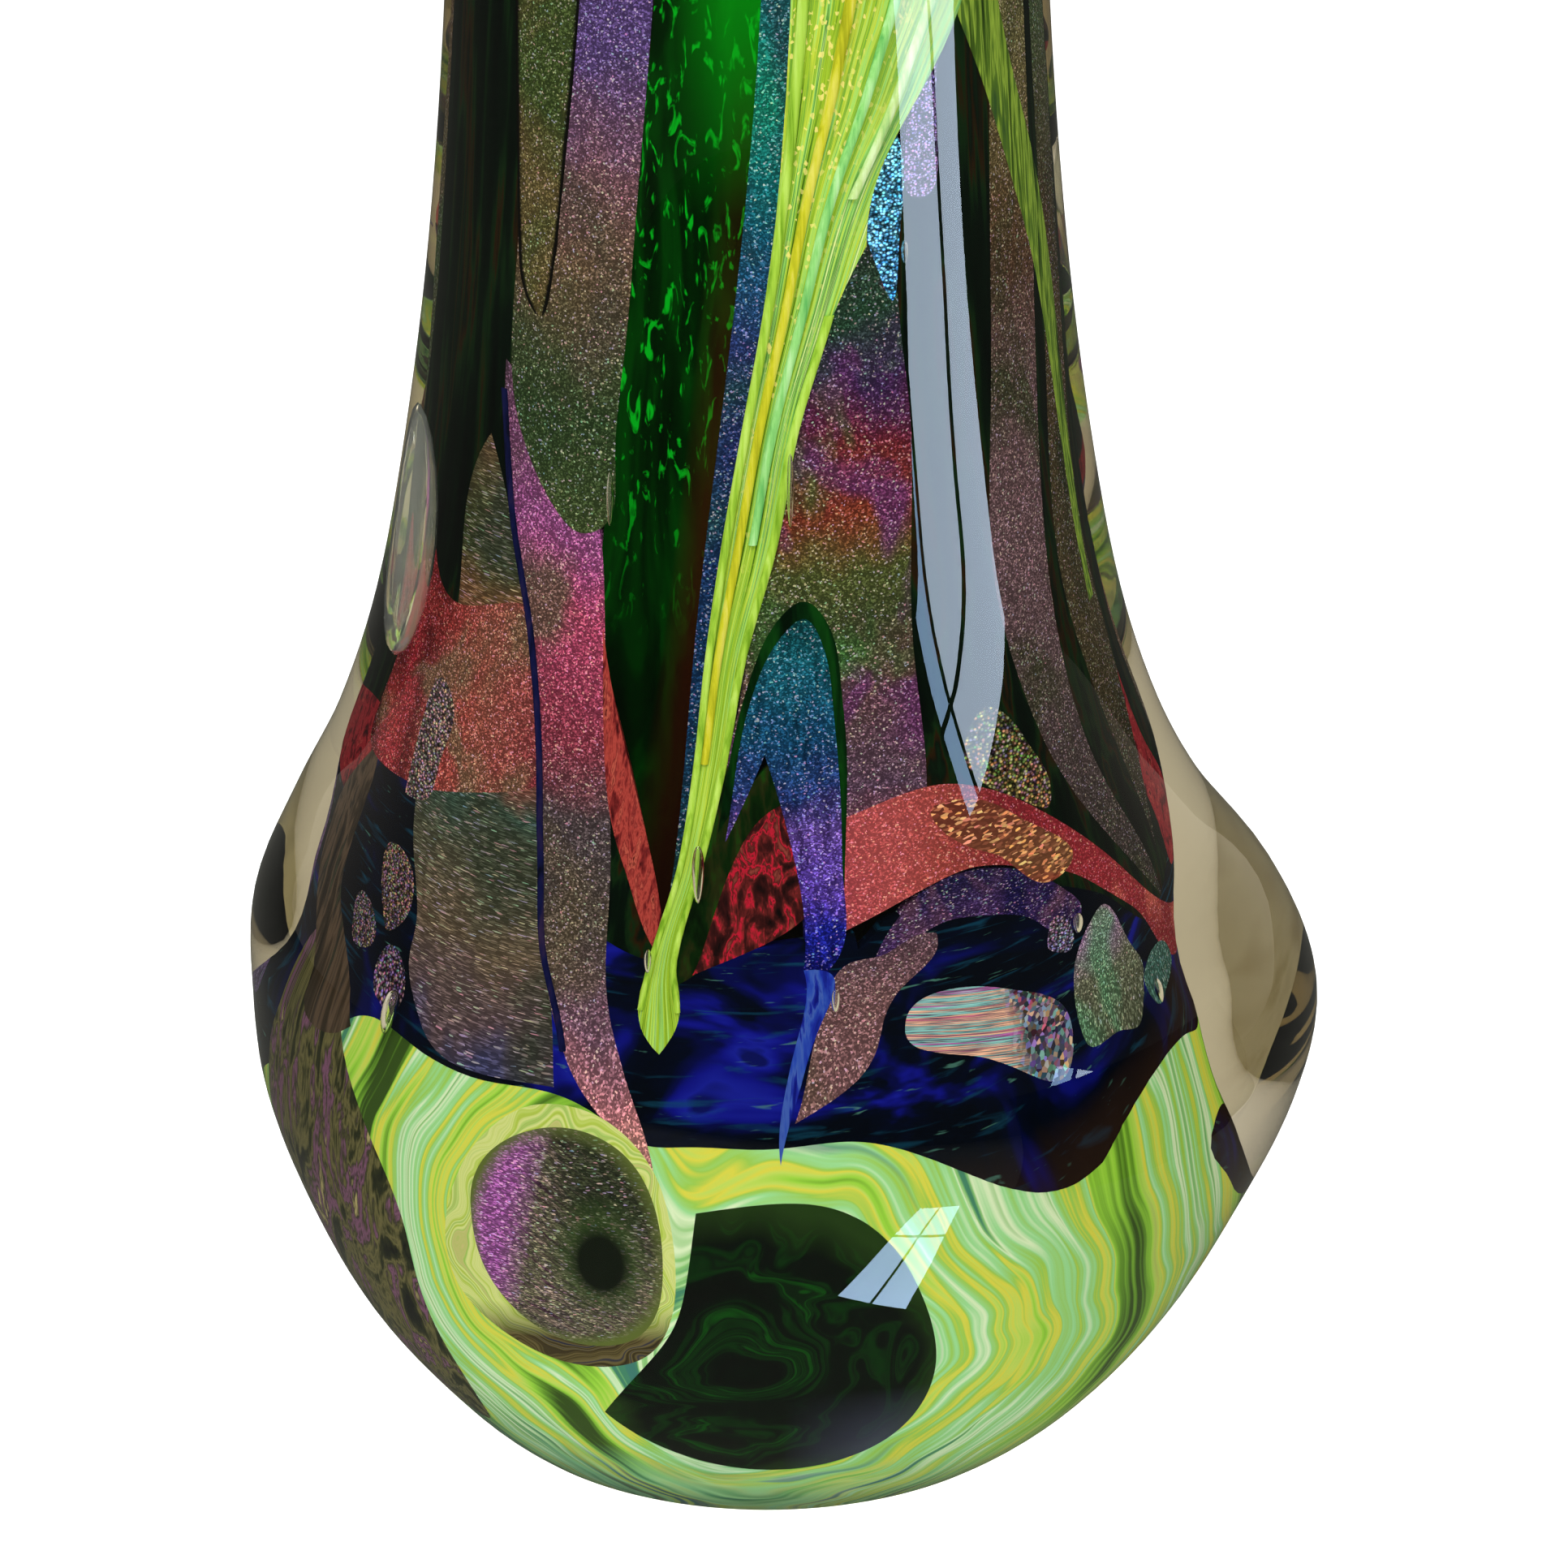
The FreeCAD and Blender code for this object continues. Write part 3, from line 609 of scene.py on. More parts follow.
def window_glass():
    """Deep green glass with painted light shining through it: bright upright flecks and a brighter
    green patch near the top; darker towards the bottom.
    """
    f = Finish("green_window_glass")
    v = f.height()
    broad = f.noise(f.stretched(0.25, 0.03), 1, 3, 0.8)
    colour = f.ramp(f.spread(broad, 0.3, 0.7), (
        (0, (1, 10, 1)), (0.45, (1, 26, 2)), (0.75, (2, 48, 4)), (1, (2, 22, 3))))
    # Painted light shining through the glass: bright green upright flecks.
    painted_light_fleck = f.noise(f.stretched(0.75, 0.2), 1, 3, 1.6)
    glow = f.maths("MULTIPLY", f.spread(painted_light_fleck, 0.58, 0.66), f.spread(v, 116, 140))
    colour = f.mix(glow, colour, tone(4, 150, 24))
    # Painted light shining through the glass: a brighter green patch near the top.
    top = f.maths("MULTIPLY", f.spread(v, 168, 205), f.spread(f.bearing(), -20, -4))
    colour = f.mix(f.maths("MULTIPLY", top, 0.85), colour, tone(4, 140, 14))
    lean = f.maths("SUBTRACT", f.bearing(), f.maths("MULTIPLY", v, 0.17))
    edge = f.spread(lean, -38, -32)
    brown = f.maths("MULTIPLY", edge, f.spread(v, 190, 130))
    colour = f.mix(f.maths("MULTIPLY", brown, 0.85), colour, tone(40, 14, 4))
    return f.done(f.scaled(colour, f.spread(v, 84, 136, 0.35, 1)))


def arch_glass(name):
    """Teal to violet to cobalt glass of the tall arch."""
    f = Finish(name)
    v = f.maths("ADD", f.height(), f.maths("MULTIPLY", f.noise(f.stretched(0.25, 0.2)), 10))
    colour = f.ramp(f.spread(v, 76, 126), (
        (0, (10, 14, 90)), (0.16, (24, 30, 130)), (0.26, (76, 54, 150)),
        (0.42, (84, 62, 136)), (0.52, (34, 50, 106)), (0.66, (20, 64, 100)),
        (0.85, (22, 84, 100)), (1, (10, 52, 48))))
    line = f.noise(f.stretched(1.2, 0.06), 1, 3)
    colour = f.scaled(colour, f.spread(line, 0.3, 0.7, 0.5, 1.4))
    return f.done(glitter(f, colour, shine=0.4))


def dark_eye_glass():
    """Green eye: near black, with thin green rings and a painted violet-grey sheen low on its right.
    """
    f = Finish("green_eye_glass")
    sway = f.noise(f.stretched(0.045, 0.055), 1, 2, 1.2)
    rings = f.maths("ADD", eye_distance(f, *GREEN_EYE), f.maths("MULTIPLY", sway, 0.5))
    folds = f.maths("MULTIPLY_ADD", sway, 1.1, rings)
    line = f.noise(f.vector(f.maths("MULTIPLY", folds, 9), f.maths("MULTIPLY", sway, 3), 0.0), 1, 3)
    colour = f.ramp(f.spread(line, 0.35, 0.72), (
        (0, (1, 5, 2)), (0.5, (1, 9, 3)), (0.68, (3, 40, 5)),
        (0.78, (2, 14, 4)), (0.9, (8, 66, 10)), (1, (3, 24, 5))))
    outer = f.spread(rings, 1.08, 1.28)
    colour = f.mix(f.maths("MULTIPLY", outer, 0.6), colour, tone(40, 70, 24))
    # Painted sheen: a violet-grey reflection laid low on the right of the eye.
    low = f.maths("MULTIPLY", f.spread(f.height(), 28, 18), f.spread(f.bearing(), 6, 22))
    colour = f.mix(f.maths("MULTIPLY", low, 0.8), colour, tone(66, 70, 92))
    return f.done(colour)


def purple_eye_glass():
    """Purple and bronze eye with a dark pupil and brushed foil."""
    f = Finish("purple_eye_glass")
    rings = eye_distance(f, *PURPLE_EYE)
    pupil = eye_distance(f, *PUPIL)
    z = f.height()
    tilt = f.maths("MULTIPLY_ADD", f.bearing(), 0.35, z)
    brushed = f.noise(f.vector(f.maths("MULTIPLY", tilt, 1.4),
                               f.maths("MULTIPLY", f.bearing(), 0.12), 0.0), 1, 4, 0.2, 0.7)
    colour = f.ramp(f.spread(brushed, 0.3, 0.7), (
        (0, (16, 14, 16)), (0.3, (74, 50, 66)), (0.48, (110, 112, 84)),
        (0.62, (44, 34, 50)), (0.8, (140, 124, 112)), (1, (40, 30, 44))))
    dark = f.maths("MULTIPLY", f.spread(f.bearing(), -33, -24), f.spread(z, 44, 50))
    colour = f.mix(f.maths("MULTIPLY", dark, 0.8), colour, tone(24, 40, 18))
    left = f.spread(f.maths("MULTIPLY_ADD", z, -0.3, f.bearing()), -46, -51)
    colour = f.mix(f.maths("MULTIPLY", left, 0.8), colour, tone(150, 80, 160))
    colour = glitter(f, colour, across=0.55, along=1.9, shine=0.6)
    glow = f.spread(pupil, 2.0, 1.1)
    colour = f.mix(f.maths("MULTIPLY", glow, 0.7), colour, tone(40, 66, 24))
    colour = f.mix(f.spread(pupil, 1.2, 0.75), colour, tone(8, 16, 6))
    return f.done(f.mix(f.spread(rings, 0.86, 1.02), colour, tone(86, 100, 46)))


def halo_glass():
    """Lime and gold halo drawn round the purple eye, dark bronze beneath it."""
    f = Finish("eye_halo_glass")
    rings = eye_distance(f, *HALO)
    wave = f.noise(f.stretched(0.1, 0.1), 1, 2)
    line = f.noise(f.vector(f.maths("MULTIPLY", f.maths("ADD", rings, wave), 16), 0.0, 0.0), 1, 4)
    light = f.ramp(f.spread(line, 0.3, 0.7), (
        (0, (120, 130, 60)), (0.3, (170, 196, 80)), (0.5, (206, 216, 140)),
        (0.7, (150, 190, 90)), (0.85, (190, 186, 120)), (1, (150, 206, 120))))
    dark = f.ramp(f.spread(line, 0.3, 0.7), (
        (0, (20, 20, 26)), (0.4, (60, 52, 30)), (0.6, (100, 90, 54)),
        (0.8, (26, 34, 60)), (1, (70, 60, 40))))
    below = f.spread(f.maths("MULTIPLY_ADD", f.bearing(), -0.12, f.height()), 42, 37)
    return f.done(f.mix(below, light, dark))


def oval_glass(name):
    """Foil drawn into level coloured threads, breaking into flakes at its right end."""
    f = Finish(name)
    x = f.place()[0]
    tilt = f.maths("MULTIPLY_ADD", f.bearing(), 0.15, f.height())
    line = f.noise(f.vector(f.maths("MULTIPLY", tilt, 1.7), f.maths("MULTIPLY", x, 0.02), 0.0),
                   1, 4, 0.0, 0.75)
    colour = f.ramp(f.spread(line, 0.3, 0.7), (
        (0, (20, 26, 44)), (0.14, (220, 110, 150)), (0.26, (40, 44, 80)),
        (0.38, (255, 200, 170)), (0.48, (34, 40, 74)), (0.58, (150, 220, 220)),
        (0.7, (36, 36, 60)), (0.82, (220, 120, 210)), (0.92, (54, 66, 94)),
        (1, (255, 200, 220))))
    glow, kind = f.flakes(0.55, 1, 1.3)[:2]
    spots = f.ramp(kind, ((0, (200, 90, 120)), (0.25, (90, 150, 190)),
                          (0.5, (220, 180, 130)), (0.75, (120, 90, 200)),
                          (1, (130, 200, 170))))
    spots = f.scaled(spots, f.maths("MULTIPLY_ADD", f.maths("POWER", glow, 2), 1.1, 0.08))
    end = f.spread(f.maths("MULTIPLY_ADD", f.noise(f.stretched(0.3, 0.3)), 10, f.bearing()), 49, 53)
    return f.done(f.mix(end, colour, spots))


CHIPS = (tone(230, 150, 110), tone(120, 90, 220), tone(220, 190, 110), tone(90, 190, 150),
         tone(230, 100, 150), tone(90, 150, 240))


def spots(name, stops, size, tints=CHIPS, power=1.3):
    """Coarse foil chips, bright on near black glass."""
    f = Finish(name)
    base = f.ramp(f.spread(f.height(), stops[0][0], stops[-1][0]), as_shares(stops))
    glow, kind, edge = f.flakes(size * 0.72, 1, 1.2)
    chip = f.mix(0.5, f.ramp(kind, evenly(tints)), base)
    strength = f.maths("MULTIPLY", f.spread(glow, 0.2, 0.9, 0.1, 1.1),
                       f.spread(edge, 0.62, 0.3, 0.1, 1))
    return f.done(f.scaled(chip, f.maths("MULTIPLY", strength, power)))


def olive_strip_glass():
    """Olive foil strip with a thin dark edge that turns round at its foot."""
    f = Finish("olive_strip_foil")
    v = f.height()
    foot = at_share("olive_strip", 0)
    left = f.curve(v, foot, 300, edge_line("olive_strip", 0, STRIP_SHARES))
    right = f.curve(v, foot, 300, edge_line("olive_strip", 1, STRIP_SHARES))
    near = f.maths("MINIMUM", f.maths("SUBTRACT", f.bearing(), left),
                   f.maths("SUBTRACT", right, f.bearing()))
    patch = f.spread(f.noise(f.stretched(0.07, 0.05), 1, 3, 0.6), 0.45, 0.6)
    colour = f.mix(patch, tone(86, 76, 46), tone(58, 72, 36))
    colour = glitter(f, colour)
    return f.done(f.mix(f.spread(near, 1.9, 0.9), colour, tone(8, 8, 6)))


def piece_finishes():
    """Make every coloured finish, keyed by the piece that has it."""
    neck_red = streaks("red_ribbon_glass", (
        (0, (40, 8, 14)), (0.3, (96, 20, 30)), (0.5, (150, 36, 46)),
        (0.66, (116, 26, 36)), (0.82, (170, 60, 60)), (1, (70, 14, 22))),
        across=0.7, along=0.5, scale=0.7)
    drape_red = streaks("red_drape_glass", (
        (0, (50, 12, 14)), (0.3, (120, 38, 38)), (0.5, (166, 66, 58)),
        (0.66, (110, 34, 36)), (0.82, (180, 84, 70)), (1, (70, 18, 20))),
        across=1.5, along=0.12, scale=0.7)
    brown = streaks("brown_ribbon_glass", (
        (0, (16, 14, 12)), (0.4, (50, 42, 32)), (0.6, (88, 72, 58)),
        (0.8, (34, 34, 30)), (1, (60, 70, 46))), across=0.6, along=0.1)
    olive = streaks("olive_ribbon_glass", (
        (0, (12, 14, 12)), (0.3, (40, 44, 24)), (0.48, (104, 100, 62)),
        (0.6, (50, 52, 34)), (0.74, (120, 80, 110)), (0.86, (40, 44, 30)),
        (1, (170, 160, 110))), across=0.35, along=0.16, distort=1.4, scale=0.6)
    lime_back = streaks("back_trail_glass", (
        (0, (50, 90, 24)), (0.35, (140, 184, 56)), (0.6, (190, 208, 90)),
        (0.8, (140, 196, 110)), (1, (86, 130, 40))), across=1.6, along=0.02)
    blue = streaks("blue_trail_glass", (
        (0, (10, 14, 90)), (0.4, (24, 40, 150)), (0.6, (40, 70, 170)),
        (0.75, (60, 90, 170)), (0.85, (26, 40, 150)), (1, (14, 20, 110))),
        across=1, along=0.1)
    violet_mix = (tone(200, 180, 255), tone(255, 190, 230), tone(230, 220, 255),
                  tone(160, 170, 255))
    cool_mix = (tone(120, 220, 255), tone(60, 150, 255), tone(190, 250, 255),
                tone(90, 120, 255), tone(150, 255, 230))
    return {
        "lime_trail": lime_trail_glass(),
        "lime_thread": streaks("side_thread_glass", (
            (0, (24, 40, 12)), (0.35, (70, 100, 30)), (0.55, (140, 170, 60)),
            (0.7, (80, 110, 36)), (1, (50, 80, 36))), across=1.6, along=0.03),
        "back_trail": lime_back,
        "blue_trail": blue,
        "cyan_patch": spots("cyan_patch_foil", ((157, (60, 170, 255)),
                                                (180, (120, 240, 255))), 0.5, cool_mix,
                            2.2),
        "violet_flash": spots("violet_flash_foil", ((168, (120, 90, 190)),
                                                    (200, (120, 90, 240))), 0.42, violet_mix),
        "teal_strip": foil("teal_strip_foil", ((84, (10, 30, 24)), (104, (18, 50, 84)),
                                               (136, (26, 44, 84)), (150, (40, 40, 96)),
                                               (166, (20, 84, 110)), (182, (22, 112, 92)),
                                               (196, (18, 96, 110)),
                                               (230, (20, 110, 90))),
                           second=tone(30, 62, 70), shine=0.4),
        "teal_arch": arch_glass("teal_arch_glass"),
        "back_arch": arch_glass("back_arch_glass"),
        "arch_rim": streaks("arch_rim_glass", ((0, (2, 14, 4)), (0.5, (4, 34, 8)),
                                               (1, (10, 56, 12)))),
        "red_centre": streaks("red_centre_glass", (
            (0, (12, 8, 8)), (0.35, (50, 18, 18)), (0.52, (96, 32, 32)),
            (0.64, (180, 26, 50)), (0.72, (70, 24, 24)), (1, (130, 60, 52))),
            across=0.55, along=0.22, distort=1.1, scale=0.7),
        "green_wedge": streaks("green_wedge_glass", (
            (0, (3, 8, 3)), (0.5, (8, 30, 6)), (0.7, (30, 34, 12)),
            (1, (16, 60, 10))), 0.8, 0.1),
        "purple_eye": purple_eye_glass(),
        "eye_halo": halo_glass(),
        "green_eye": dark_eye_glass(),
        "back_eye": streaks("back_eye_glass", ((0, (180, 170, 140)), (0.5, (196, 188, 158)),
                                               (1, (170, 158, 122))), 0.2, 0.3, 1.0),
        "red_drape": drape_red,
        "olive_strip": olive_strip_glass(),
        "violet_strip": foil("violet_strip_foil", (
            (128, (62, 76, 44)), (142, (44, 62, 36)), (150, (60, 68, 44)),
            (160, (92, 74, 56)), (172, (100, 70, 80)), (186, (80, 62, 110)),
            (230, (74, 60, 116)), (300, (64, 60, 110))),
            second=tone(70, 64, 52), cloud=18, shine=0.46),
        "violet_band": foil("violet_band_foil", (
            (52, (190, 140, 124)), (58, (170, 110, 120)), (66, (110, 80, 100)),
            (78, (64, 58, 58)), (92, (72, 62, 66)), (102, (120, 50, 66)),
            (116, (150, 62, 92)), (128, (130, 70, 120)), (146, (80, 60, 74))),
            second=tone(84, 74, 60), cloud=18),
        "long_spot": spots("long_spot_foil", ((85, (170, 150, 150)),
                                              (104, (210, 180, 160))), 0.5),
        "tall_spot": spots("tall_spot_foil", ((68, (120, 104, 70)),
                                              (78, (140, 110, 80))), 0.4),
        "edge_spot": spots("edge_spot_foil", ((63, (120, 96, 80)),
                                              (70, (90, 110, 100))), 0.4),
        "low_spot": spots("low_spot_foil", ((60, (140, 100, 150)), (67, (80, 90, 140))),
                          0.45),
        "red_veil": foil("red_veil_foil", ((-101, (70, 16, 22)), (-92, (150, 40, 50)),
                                           (-84, (96, 30, 34)), (-74, (140, 56, 54)),
                                           (-60, (134, 74, 64)), (-42, (120, 50, 58))),
                         by="bearing", second=tone(150, 50, 52), third=tone(104, 84, 64)),
        "bronze_panel": foil("bronze_panel_foil", (
            (60, (60, 62, 96)), (64, (84, 70, 76)), (72, (90, 78, 64)),
            (82, (70, 72, 58)), (90, (52, 72, 62)), (96, (110, 64, 56)),
            (116, (100, 72, 50)), (124, (60, 70, 44)), (136, (84, 70, 50))),
            across=0.3, along=2.6, size=0.26, grain=0.9, second=tone(52, 58, 46)),
        "brown_ribbon": brown,
        "olive_ribbon": olive,
        "small_spot": spots("small_spot_foil", ((66, (140, 160, 230)),
                                                (73, (190, 150, 190))), 0.5),
        "gold_spot": spots("gold_spot_foil", ((88, (170, 120, 80)), (94, (110, 110, 60)),
                                              (104, (60, 140, 60))), 0.6,
                           (tone(255, 200, 130), tone(90, 200, 90), tone(255, 150, 110),
                            tone(150, 110, 220), tone(220, 230, 130))),
        "gold_patch": foil("gold_patch_foil", ((78, (126, 84, 58)), (94, (120, 56, 46))),
                           size=0.5, across=0.7, along=1.6, grain=0.9, shine=0.9, rare=0.7,
                           second=tone(150, 50, 46),
                           glints=(tone(255, 200, 110), tone(255, 150, 110), tone(240, 220, 140),
                                   tone(255, 120, 140))),
        "pink_bend": foil("pink_bend_foil", ((58, (120, 86, 92)), (68, (110, 80, 84)),
                                             (77, (80, 60, 72))), second=tone(96, 80, 68)),
        "violet_bend": foil("violet_bend_foil", ((68, (26, 22, 90)), (76, (60, 40, 84)),
                                                 (83, (26, 24, 60))), shine=0.5,
                            across=0.8, along=1.5, second=tone(14, 14, 60),
                            third=tone(96, 64, 84)),
        "streaked_oval": oval_glass("streaked_oval_foil"),
        "back_oval": oval_glass("back_oval_foil"),
        "pink_triangle": foil("pink_triangle_foil", ((53, (84, 92, 74)), (60, (96, 100, 84)),
                                                     (66, (130, 100, 140)),
                                                     (70, (160, 100, 150))),
                              second=tone(140, 96, 120), third=tone(84, 130, 100)),
        "teal_spot": foil("teal_spot_foil", ((44, (30, 60, 56)), (53, (60, 96, 90)))),
        "bronze_strip": foil("bronze_strip_foil", ((60, (40, 40, 34)), (95, (70, 58, 60)),
                                                   (120, (96, 74, 80)),
                                                   (140, (90, 70, 72)), (160, (76, 54, 38)),
                                                   (190, (100, 96, 60)),
                                                   (300, (90, 96, 70))),
                             second=tone(50, 54, 34)),
        "edge_strip": foil("edge_strip_foil", ((70, (34, 34, 24)), (110, (66, 58, 38)),
                                               (160, (60, 46, 28)), (200, (60, 84, 52)),
                                               (300, (60, 60, 80))), second=tone(30, 36, 20)),
        "red_ribbon": foil("red_ribbon_foil", ((12, (150, 60, 72)), (26, (160, 72, 74)),
                                               (40, (146, 64, 60)), (52, (120, 36, 44)),
                                               (76, (140, 40, 50)), (112, (110, 34, 38))),
                           by="bearing", second=tone(176, 84, 74), shine=0.35, grain=0.6),
        "red_edge": neck_red,
        "back_ribbon": neck_red,
        "glitter_arch": foil("glitter_arch_foil", (
            (76, (120, 70, 70)), (88, (126, 60, 60)), (98, (80, 60, 80)),
            (108, (84, 62, 60)), (118, (58, 66, 40)), (124, (70, 78, 40)),
            (132, (110, 50, 36)), (140, (96, 34, 44)), (148, (56, 36, 74)),
            (156, (34, 60, 44)), (165, (40, 44, 40))),
            second=tone(50, 90, 44), third=tone(88, 44, 90), cloud=11, shine=0.46),
        "green_window": window_glass(),
        "back_violet_strip": foil("back_violet_foil", (
            (120, (60, 70, 50)), (160, (84, 70, 110)), (300, (60, 80, 130))),
            second=tone(72, 86, 54)),
        "back_olive_strip": foil("back_olive_foil", (
            (130, (58, 70, 44)), (190, (90, 72, 50)), (300, (66, 78, 48))),
            second=tone(50, 72, 40)),
        "back_bronze_panel": foil("back_bronze_foil", (
            (68, (66, 58, 80)), (90, (88, 78, 60)), (120, (120, 70, 60))),
            second=tone(58, 60, 46)),
        "back_purple_panel": foil("back_purple_foil", (
            (54, (78, 60, 110)), (66, (96, 70, 110)), (76, (60, 50, 90))),
            second=tone(60, 70, 90)),
        "green_ground": green_ground_glass(),
        "cobalt_ground": cobalt_glass(),
        "lime_base": lime_swirl(),
    }


# ---------------------------------------------------------------- coloured pieces

def smooth_copy(node):
    """Take a merged, smoothly shaded copy of a CAD piece."""
    bpy.ops.object.select_all(action="DESELECT")
    piece = frame["nodes"][node].copy()
    piece.data = piece.data.copy()
    piece.name = node + "_glass"
    piece.parent = None
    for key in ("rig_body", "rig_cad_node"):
        if key in piece:
            del piece[key]
    bpy.context.collection.objects.link(piece)
    bpy.context.view_layer.objects.active = piece
    piece.select_set(True)
    bpy.ops.mesh.customdata_custom_splitnormals_clear()
    bpy.ops.object.mode_set(mode="EDIT")
    bpy.ops.mesh.select_all(action="SELECT")
    bpy.ops.mesh.remove_doubles(threshold=0.00001)
    bpy.ops.object.mode_set(mode="OBJECT")
    bpy.ops.object.shade_smooth_by_angle(angle=math.radians(35))
    return piece


def lay_pieces():
    """Give every coloured CAD piece its smooth form and its finish."""
    for node, finish in piece_finishes().items():
        piece = smooth_copy(node)
        piece.data.materials.clear()
        piece.data.materials.append(finish)
        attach(piece, "root")
        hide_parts(node)


# ---------------------------------------------------------------- blown walls and threads

# Height, radius and sideways lean of the outside, then height and radius of the colour
# gather and of the air space.
OUTSIDE = (
    (0, 33.5, 2.0), (2, 38.5, 2.3), (10, 47, 2.9), (22, 56, 3.0), (36, 63, 3.4), (50, 68.2, 4.2),
    (62, 69.6, 4.6), (74, 66.8, 2.4), (86, 59.4, 0.2), (98, 53, 0), (114, 47.5, 0),
    (135, 43.2, 0), (160, 39.6, 0), (190, 36.9, 0), (232, 34.8, 0), (268, 35.8, 0), (294, 40.8, 0))
GATHER = (
    (20, 39.6), (30, 41.2), (42, 40.6), (56, 39.4), (70, 37.4), (88, 33.3), (104, 29.9),
    (126, 27), (155, 25), (188, 23.2), (232, 22.6), (268, 26.5), (294, 34.6))
AIR = (
    (294, 30), (268, 21.5), (232, 17.6), (188, 18), (155, 19.6), (126, 21.4), (104, 24), (88, 27),
    (70, 30), (58, 28), (51, 23), (47.5, 16), (46, 8))


def between(stations, steps):
    """Fill in smooth rings between the stations of a profile."""
    rings = []
    last = len(stations) - 1
    for number in range(last):
        a = stations[max(number - 1, 0)]
        b = stations[number]
        c = stations[number + 1]
        d = stations[min(number + 2, last)]
        gap = c[0] - b[0]
        slope_in = [(c[k] - a[k]) / (c[0] - a[0]) * gap for k in range(len(b))]
        slope_out = [(d[k] - b[k]) / (d[0] - b[0]) * gap for k in range(len(b))]
        for step in range(steps):
            t = step / steps
            rings.append([
                (2 * t ** 3 - 3 * t ** 2 + 1) * b[k] + (t ** 3 - 2 * t ** 2 + t) * slope_in[k]
                + (3 * t ** 2 - 2 * t ** 3) * c[k] + (t ** 3 - t ** 2) * slope_out[k]
                for k in range(len(b))])
    rings.append(list(stations[-1]))
    return rings


GATHER_RINGS = between(GATHER, 8)


def on_gather(bearing, height, lift):
    """Give the point at a bearing and height, a little outside the colour gather."""
    radius = GATHER_RINGS[-1][1]
    for low, high in zip(GATHER_RINGS, GATHER_RINGS[1:]):
        if height <= high[0]:
            radius = low[1] + (high[1] - low[1]) * (height - low[0]) / (high[0] - low[0])
            break
    turn = math.radians(bearing)
    reach = radius + lift
    return reach * math.sin(turn), -reach * math.cos(turn), height


def blow(name, rings, sides):
    """Draw a round wall through its rings, each (x, y, z, radius), and close both ends."""
    spot = Vector(rings[0][:3]) * MM
    radius = rings[0][3] * MM
    bpy.ops.object.select_all(action="DESELECT")
    bpy.ops.mesh.primitive_circle_add(vertices=sides, radius=radius, location=spot)
    wall = bpy.context.object
    wall.name = name
    bpy.ops.object.transform_apply(location=True, rotation=True, scale=True)
    bpy.ops.object.mode_set(mode="EDIT")
    bpy.ops.mesh.select_mode(type="EDGE")
    bpy.ops.mesh.select_all(action="SELECT")
    bpy.ops.mesh.edge_face_add()
    bpy.ops.mesh.select_all(action="SELECT")
    for ring in rings[1:]:
        new_spot = Vector(ring[:3]) * MM
        new_radius = ring[3] * MM
        bpy.ops.mesh.extrude_region_move(TRANSFORM_OT_translate={"value": new_spot - spot})
        grow = new_radius / radius
        bpy.ops.transform.resize(value=(grow, grow, 1), center_override=new_spot)
        spot, radius = new_spot, new_radius
    bpy.ops.mesh.select_all(action="DESELECT")
    bpy.ops.mesh.select_mode(type="EDGE")
    bpy.ops.mesh.select_non_manifold()
    bpy.ops.mesh.edge_face_add()
    bpy.ops.mesh.select_all(action="SELECT")
    bpy.ops.mesh.normals_make_consistent(inside=False)
    bpy.ops.object.mode_set(mode="OBJECT")
    bpy.ops.object.shade_smooth_by_angle(angle=math.radians(50))
    return wall


def clear_wall():
    """Blow the clear glass: outside wall, round lip and the air space."""
    rim = OUTSIDE[-1]
    mouth = AIR[0]
    half = (rim[1] - mouth[1]) / 2
    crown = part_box("clear_lip")[1].z / MM - half
    rings = [(lean, 0, height, radius) for height, radius, lean in between(OUTSIDE, 6)]
    for step in range(13):
        turn = math.pi * step / 12
        rings.append((0, 0, crown + half * math.sin(turn),
                      mouth[1] + half + half * math.cos(turn)))
    rings += [(0, 0, height, radius) for height, radius in between(AIR, 5)]
    wall = blow("clear_glass_wall", rings, 144)
    wall.data.materials.append(clear_glass())
    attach(wall, "root")
    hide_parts("clear_casing", "clear_lip", "inner_gather")


def draw_thread(name, stations, finish, lift):
    """Draw a thread of glass over the gather: each station is height, bearing, half width."""
    rings = []
    for height, bearing, half in between(stations, 5):
        rings.append((*on_gather(bearing, height, lift), half))
    thread = blow(name, rings, 10)
    thread.data.materials.append(finish)
    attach(thread, "root")


# Threads over the lime trail: tint, share across its width, shares of its height they run.
TRAIL_THREADS = (
    ("left_thread", 0, 0.06, 0.02, 0.96), ("gold_thread", 1, 0.3, 0.15, 0.96),
    ("mint_thread", 2, 0.55, 0.25, 0.96), ("pale_thread", 3, 0.78, 0.42, 0.96),
    ("right_thread", 0, 0.94, 0.02, 0.4))

# Shares of the violet band's height that the dark seam at its left edge runs through.
SEAM_SHARES = (0.96, 0.8, 0.65, 0.5, 0.35, 0.22, 0.1)

# Small bubbles: a piece, share of its height, which edge, half width, half height.
BUBBLES = (
    ("lime_trail", 0.31, 1, 0.38, 4.6), ("lime_trail", 0.1, 1, 0.7, 4.2),
    ("green_window", 0.25, 0, 0.4, 3.4), ("low_spot", 0.2, 1, 0.9, 1.5),
    ("small_spot", 0.7, 1, 0.6, 1.7), ("blue_trail", 0.8, 1, 0.5, 1.7),
    ("lime_trail", 0.05, 0, 0.45, 1.7), ("teal_spot", 0.7, 0, 0.45, 0.9),
    ("cyan_patch", 0.3, 1, 0.4, 1.4))


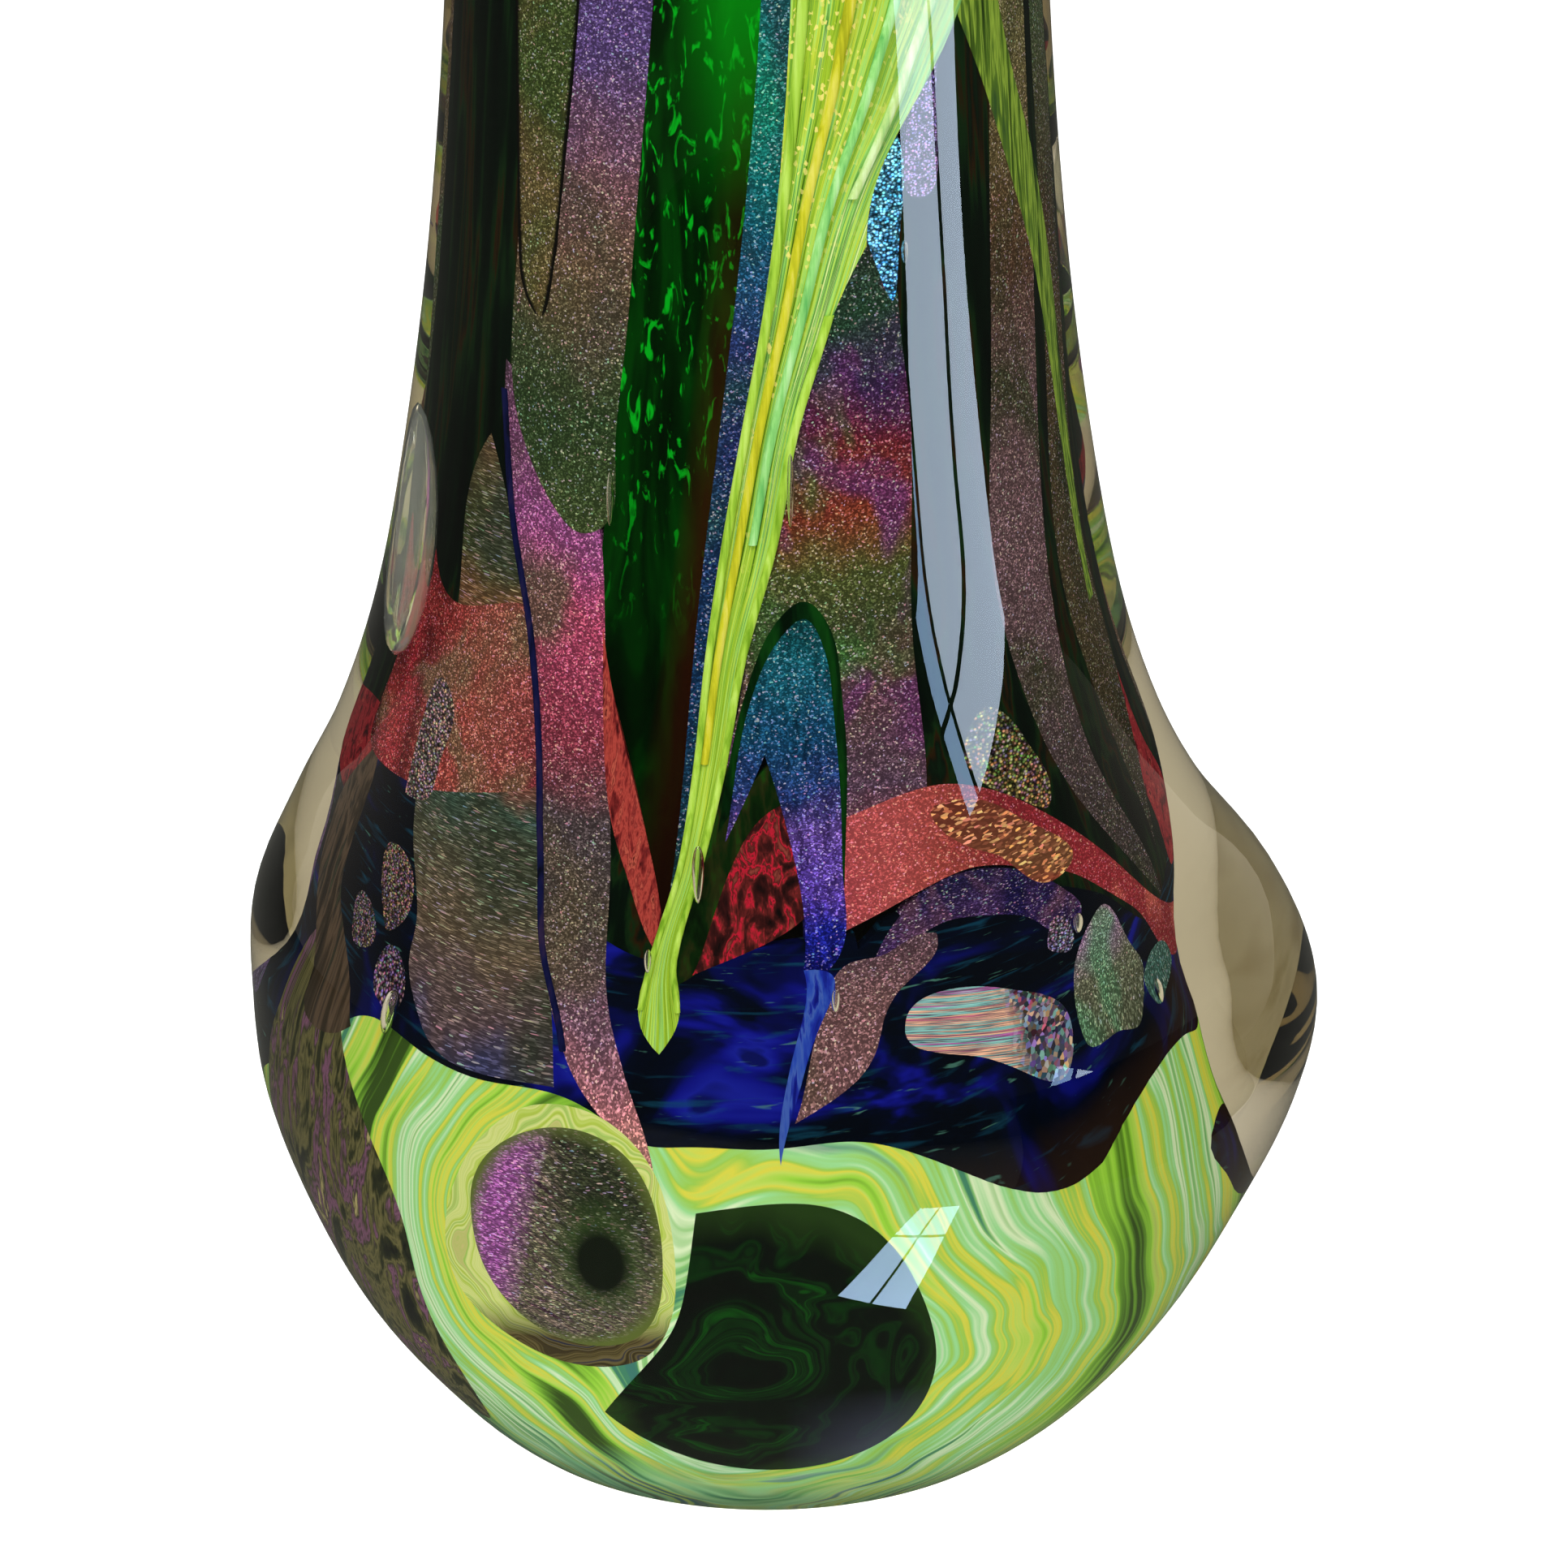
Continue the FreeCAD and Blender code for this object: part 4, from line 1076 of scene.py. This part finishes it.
# The large bubble in the left shoulder: its place, half width and half height.
SHOULDER_BUBBLE = ((-36, -5, 122), 5.6, 17)


def bubble(name, spot, half_width, half_height, finish):
    """Blow a long bubble round a point."""
    x, y, z = spot
    rings = []
    for step in range(11):
        turn = math.pi * (step + 0.35) / 10.7
        rings.append((x, y, z - half_height * math.cos(turn),
                      half_width * math.sin(turn) * (1 - 0.12 * math.cos(turn))))
    made = blow(name, rings, 16)
    made.data.materials.append(finish)
    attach(made, "root")


def details():
    """Lay the raised threads and the bubbles in the clear glass."""
    tints = (
        streaks("lime_thread_glass", ((0, (110, 156, 36)), (0.5, (158, 200, 66)),
                                      (1, (186, 222, 104))), 2, 0.05),
        streaks("gold_thread_glass", ((0, (156, 160, 30)), (0.5, (196, 196, 44)),
                                      (1, (214, 210, 96))), 2, 0.05),
        streaks("mint_thread_glass", ((0, (90, 170, 90)), (0.5, (140, 208, 120)),
                                      (1, (176, 226, 160))), 2, 0.05),
        streaks("pale_thread_glass", ((0, (150, 196, 120)), (0.5, (184, 214, 140)),
                                      (1, (206, 230, 180))), 2, 0.05))
    seam = streaks("dark_seam_glass", ((0, (4, 6, 20)), (0.5, (14, 18, 60)),
                                       (1, (40, 30, 60))), 1, 0.1)
    line = [(height, bearing, 0.4) for height, bearing in
            edge_line("violet_band", 0, SEAM_SHARES)]
    draw_thread("panel_seam", line, seam, lift=0.05)
    for name, tint, across, foot, top in TRAIL_THREADS:
        line = []
        for share in TRAIL_SHARES:
            if foot <= share <= top:
                height = at_share("lime_trail", share)
                left, right = edges("lime_trail", height)
                line.append((height, left + across * (right - left), 0.34 + 0.5 * share))
        draw_thread(name, line, tints[tint], lift=0.05)
    air = bubble_air("bubble_air", 1)
    for number, (node, share, side, half_width, half_height) in enumerate(BUBBLES):
        height = at_share(node, share)
        bearing = edges(node, height)[side]
        bubble("bubble_%d" % number, on_gather(bearing, height, 1.4), half_width, half_height,
               air)
    bubble("shoulder_bubble", *SHOULDER_BUBBLE, bubble_air("shoulder_bubble_air", 0.9))


studio()
lay_pieces()
clear_wall()
details()
